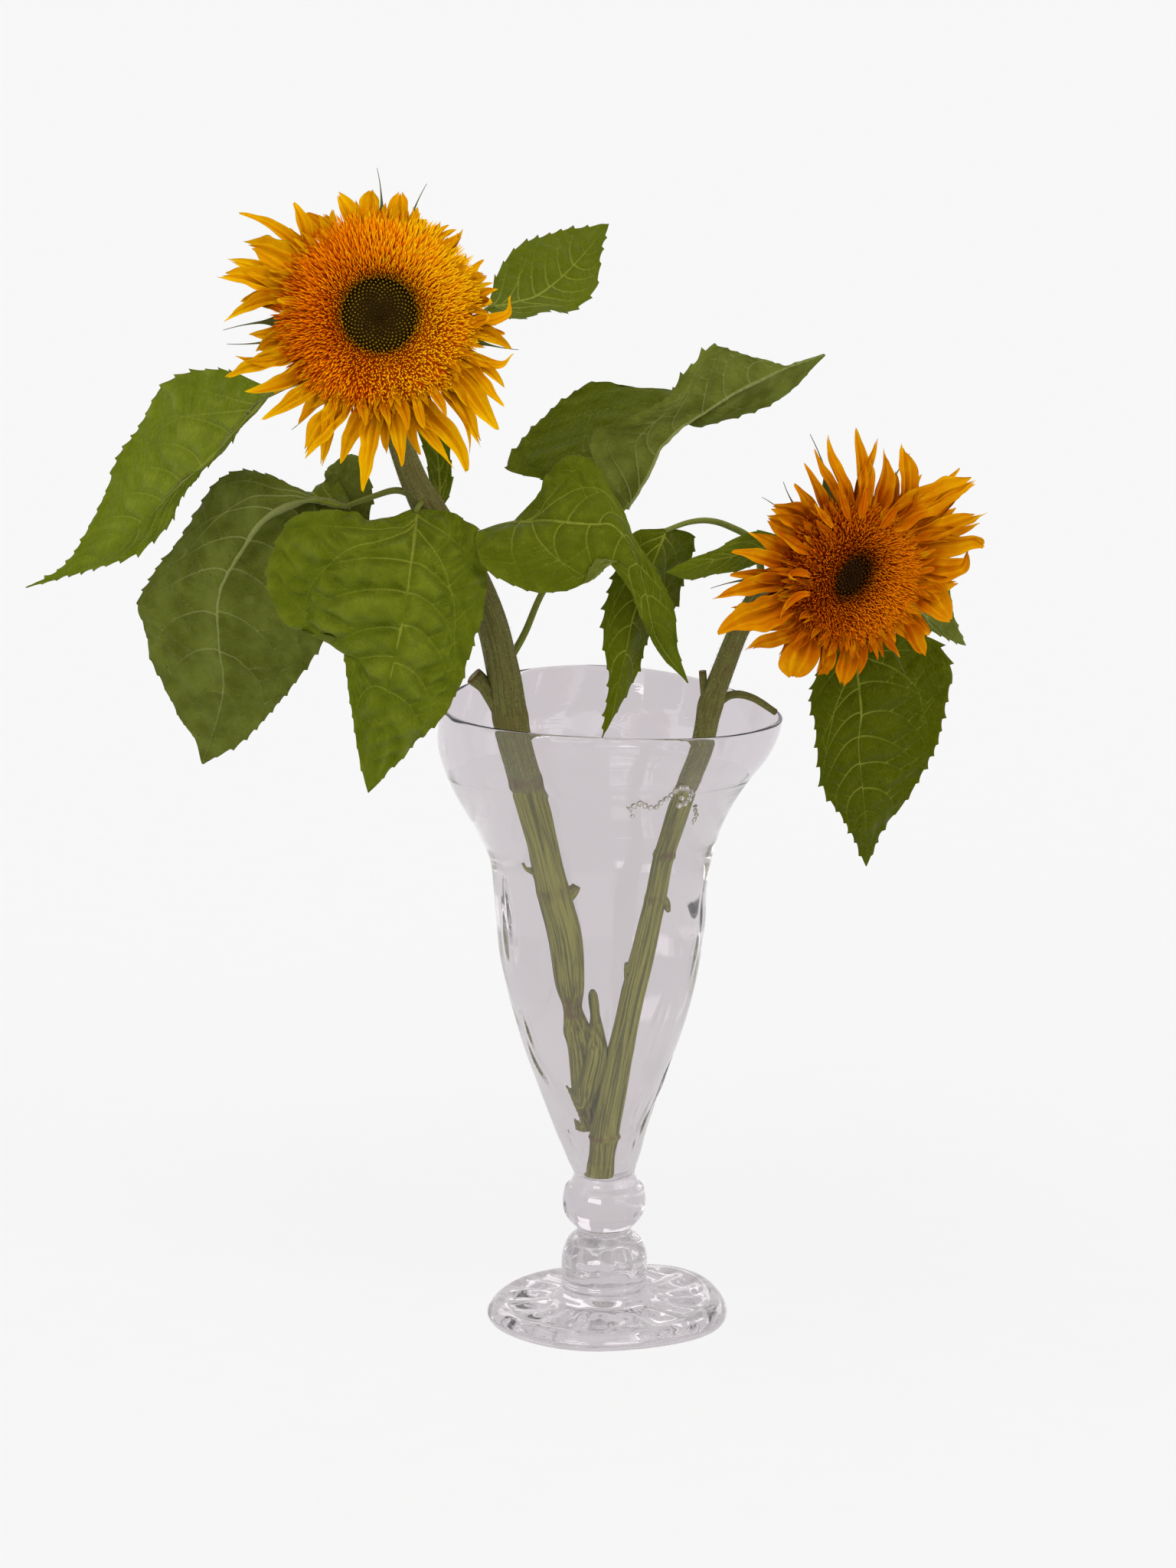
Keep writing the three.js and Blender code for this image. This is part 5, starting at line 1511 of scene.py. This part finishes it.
def bract(shape, place, angle, reach, width, root, low, slim, source, thread=0.0):
    """A pointed green scale of the calyx that hugs the cup, then stands out behind the petals."""
    keys = Path([
        [root, 0, low], [root + 9 * slim, 0, low + 5.5], [33 * slim, 0, -13.6 + (low + 20) * 0.1],
        [min(reach - 6, 46), 0, -14.5 + source.uniform(-1.5, 1.5)],
        [reach - 2, 0, -16 + source.uniform(-3, 3)],
    ])
    rows, columns = 30, 9
    along = np.linspace(0, 1, rows)[:, None]
    over = np.linspace(-1, 1, columns)[None, :]
    line = keys.at(along[:, 0])
    slope = unit(np.gradient(line, axis=0))
    normal = np.stack([-slope[:, 2], 0 * slope[:, 1], slope[:, 0]], 1)
    outline = table([[0, 0.75], [0.25, 1], [0.45, 0.85], [0.58, 0.4], [0.68, 0.13], [0.8, 0.055], [1, 0.02]])
    half = width / 2 * outline(along)
    drift = source.uniform(-2.5, 2.5) * along**2
    if thread:
        drift = drift + thread * np.clip((along - 0.6) / 0.4, 0, 1) ** 2
    u = over * half + drift
    w = -0.22 * half * (over**2 - 0.3) + 0.25 * np.cos(2.5 * math.pi * over) * np.minimum(1, half / 3)
    top = line[:, None] + np.stack([0 * u, u, 0 * u], -1) + normal[:, None] * w[..., None]
    bottom = top - normal[:, None] * (0.5 * (0.35 + 0.65 * np.minimum(1, 3 * (1 - np.abs(over)))))[..., None]
    x, y, z = np.reshape([top, bottom], (-1, 3)).T
    c, d = math.cos(math.radians(angle)), math.sin(math.radians(angle))
    grow = stacked(over * half, along * keys.length, 0 * along + angle).reshape(-1, 3)
    shape.add(
        place(np.stack([x * c - y * d, x * d + y * c, z], 1)), turned_back(sheet_faces(rows, columns)),
        grow=twice(grow), vein=twice(np.exp(-((over / 0.14) ** 2) + 0 * along).ravel()),
        along=twice((along + 0 * over).ravel()), tone=source.uniform(0.2, 0.8),
    )


def make_calyx(side, head, place, paint, source):
    shape = Shape()
    slim = head["ring"] / 42
    cup = Path([[r * slim if r > 12 else r, h, 0] for r, h in CUP]).at(np.linspace(0, 1, 50))[:, :2]
    cup[0, 0] = cup[-1, 0] = 0
    points, faces = turned(cup, 64, upright)
    shape.add(place(points), faces, grow=points, vein=0, along=0.1, tone=0.4)
    for count, root, low, width, reach in BRACT_LAYERS:
        for i in range(count):
            angle = 360 * (i + source.uniform(-0.2, 0.2)) / count + root * 7
            long = (reach + source.uniform(-4, 3)) * slim + 1
            bract(shape, place, angle, long, width, root * slim, low, slim, source)
    for i, (angle, reach) in enumerate(head["threads"]):
        bract(shape, place, angle, reach, 11, 18 * slim, -20.2, slim, source, thread=(-1) ** i * 2.5)
    return shape.piece(side + "_green_calyx", paint, "calyx", side + "_calyx")


def make_head(side, head, seed):
    source = np.random.default_rng(seed)
    facing = unit(np.array(head["facing"], float))
    right = unit(np.cross((0, 0, 1), facing))
    upward = np.cross(facing, right)
    axes = np.stack([right, upward, facing])

    turn, stretch = math.radians(head["oval"][0]), head["oval"][1]
    longest = np.array([math.cos(turn), math.sin(turn), 0])
    across = np.array([-math.sin(turn), math.cos(turn), 0])

    def place(points):
        """From the head's own frame, whose disc may be oval, to the frame of the part."""
        points = np.asarray(points, float)
        middle = 1 - step_up(np.linalg.norm(points[:, :2], axis=1), head["disc"], head["ring"])
        for axis, sign in ((longest, 1), (across, -1)):
            points = points + axis * (points @ axis * middle * stretch * sign)[:, None]
        return points @ axes + head["centre"]

    ray = petal_paint(side)
    for i, values in enumerate(head["petals"]):
        shape = Shape()
        petal(shape, place, *values, head["root"], -7 if values[-1] < -4 else -5, source, 0.6)
        shape.piece(f"{side}_ray_{i + 1:02d}", ray, "petal", f"{side}_petal_{i + 1:02d}")
    outer = Shape()
    for values in head["more"]:
        petal(outer, place, *values, head["root"], -6 + source.uniform(-1, 1), source, 0.55)
    outer.piece(side + "_rays_between", ray, "petal")
    inner = Shape()
    for *values, root, base in head["inner"]:
        petal(inner, place, *values, root, base, source, 0.6)
    for i in range(SMALL_RAYS):
        angle = i * math.degrees(GOLDEN_ANGLE)
        ring = source.uniform(0, 1)
        reach = head["ring"] + 1 + 9 * ring + source.normal(0, 1.5)
        tip = source.choice(["point", "point", "blunt", "tooth"])
        petal(inner, place, angle, reach, angle + source.uniform(-7, 7), source.uniform(-1, 1),
              source.uniform(*SMALL_RAY_WIDTH), tip, source.uniform(-3, 3),
              head["ring"] - 12 + 5 * ring, 3 - 6 * ring, source, 0.3, rows=16, columns=7)
    inner.piece(side + "_inner_rays", ray, "petal")
    make_florets(side, head, place, floret_paint(side), source)
    make_disc(side, head, place, disc_paint(side), source)
    make_calyx(side, head, place, calyx_paint(), source)


# Colours of each head: petal root, petal, petal tip, then the floret from its root to its tip.
HEAD_COLOURS = {
    "left": {"petal": ((0.64, 0.18, 0.0005), (0.77, 0.36, 0.001), (0.90, 0.60, 0.002)),
             "floret": ((0.62, 0.10, 0.0005), (0.98, 0.30, 0.001), (1.0, 0.58, 0.004)),
             "young": ((0.09, 0.042, 0.001), (0.62, 0.28, 0.006))},
    "right": {"petal": ((0.58, 0.14, 0.0005), (0.68, 0.26, 0.001), (0.82, 0.45, 0.002)),
              "floret": ((0.38, 0.045, 0.0005), (0.64, 0.13, 0.001), (0.82, 0.26, 0.002)),
              "young": ((0.02, 0.008, 0.001), (0.12, 0.03, 0.001))},
}


def petal_paint(side):
    paint = material(side + "_petal", Roughness=0.55, Specular_IOR_Level=0.01)
    grow = paint.grown()
    along, tone = paint.stored("along"), paint.stored("tone")
    root, middle, tip = HEAD_COLOURS[side]["petal"]
    streaks = paint.noise(paint.stretched(grow, (1.3, 0.05, 1.0)), 1.0, 3.0, 0.6)
    blotch = paint.noise(grow, 0.12, 2.0)
    moved = paint.plus(along, paint.times(paint.minus(streaks, 0.5), 0.55))
    colour = paint.mix(paint.span(moved, 0.05, 0.45), root, middle)
    colour = paint.mix(paint.times(paint.span(moved, 0.45, 1.0), tone, clamp=True), colour, tip)
    colour = paint.mix(paint.span(streaks, 0.5, 0.75, 0.0, 0.4), colour, root)
    colour = paint.mix(paint.span(blotch, 0.45, 0.75, 0.0, 0.5), colour, tip)
    paint.coat(Base_Color=colour)
    paint.coat(Normal=paint.bump(streaks, 0.0004, 0.8))
    return paint.owner


def floret_paint(side):
    paint = material(side + "_floret", Roughness=0.6, Specular_IOR_Level=0.01)
    root, middle, tip = HEAD_COLOURS[side]["floret"]
    along, tone = paint.stored("along"), paint.stored("tone")
    patch = paint.noise(paint.grown(), 0.07, 2.0)
    reached = paint.plus(along, paint.times(paint.minus(tone, 0.5), 0.5))
    reached = paint.plus(reached, paint.times(paint.minus(patch, 0.5), 0.7))
    # Painted light: lighter and yellower on the right of the head, darker and redder on its left.
    reached = paint.plus(reached, paint.stored("sunny"))
    colour = paint.mix(paint.span(reached, 0.15, 0.65), root, middle)
    colour = paint.mix(paint.span(reached, 0.6, 1.15), colour, tip)
    bud, bud_tip = HEAD_COLOURS[side]["young"]
    young = paint.mix(paint.span(along, 0.6, 1.0), bud, bud_tip)
    colour = paint.mix(paint.stored("age"), young, colour)
    paint.coat(Base_Color=colour)
    return paint.owner


def disc_paint(side):
    paint = material(side + "_disc", Roughness=0.6, Specular_IOR_Level=0.06)
    along, tone = paint.stored("along"), paint.stored("tone")
    dark, brown, lit = ((0.024, 0.013, 0.001), (0.068, 0.036, 0.002), (0.38, 0.25, 0.008))
    if side == "right":
        dark, brown, lit = ((0.014, 0.005, 0.0005), (0.045, 0.016, 0.001), (0.15, 0.05, 0.003))
    fleck = paint.noise(paint.grown(), 0.5, 2.0)
    colour = paint.mix(fleck, dark, brown)
    bright = paint.times(paint.span(along, 0.5, 0.95), paint.span(tone, 0.25, 0.95))
    paint.coat(Base_Color=paint.mix(bright, colour, lit))
    return paint.owner


def calyx_paint():
    paint = material("calyx", Roughness=0.65, Specular_IOR_Level=0.1)
    grow, vein, tone = paint.grown(), paint.stored("vein"), paint.stored("tone")
    streaks = paint.noise(paint.stretched(grow, (1.2, 0.12, 1.0)), 1.0, 3.0, 0.6)
    green = paint.mix(streaks, (0.045, 0.07, 0.012), (0.12, 0.165, 0.04))
    green = paint.mix(paint.times(tone, 0.4), green, (0.16, 0.2, 0.06))
    green = paint.mix(paint.times(vein, 0.35), green, (0.22, 0.25, 0.1))
    dry = paint.span(paint.stored("along"), 0.72, 0.95, 0.0, 0.85)
    paint.coat(Base_Color=paint.mix(dry, green, (0.14, 0.105, 0.05)))
    paint.coat(Normal=paint.bump(streaks, 0.0005, 0.7))
    return paint.owner


# ------------------------------------------------------------------ the whole object

make_camera()
make_world()
make_floor()
make_vase()
make_water()
make_bubbles()
left_line, right_line = [*LEFT_STEM, join_point(LEFT_HEAD)], [*RIGHT_STEM, join_point(RIGHT_HEAD)]
make_stem("left_stalk", left_line, LEFT_STUBS, [LEFT_SHOOT], LEFT_SCARS, 21, "left_stem")
make_stem("right_stalk", right_line, RIGHT_STUBS, [], RIGHT_SCARS, 22, "right_stem")
make_hairs("left_stem_hairs", LEFT_STEM, WATER_LEVEL + 4, 470, 5200, 31)
make_hairs("right_stem_hairs", RIGHT_STEM, WATER_LEVEL + 4, 374, 2600, 32)
green_leaf = leaf_paint()
for number, (leaf_name, leaf_shape) in enumerate(LEAVES.items()):
    looks = dict(zip(LOOK_KEYS, LEAF_LOOKS[leaf_name]))
    make_leaf(leaf_name, leaf_shape, looks, 40 + 3 * number, green_leaf)
make_head("left", LEFT_HEAD, 5)
make_head("right", RIGHT_HEAD, 6)
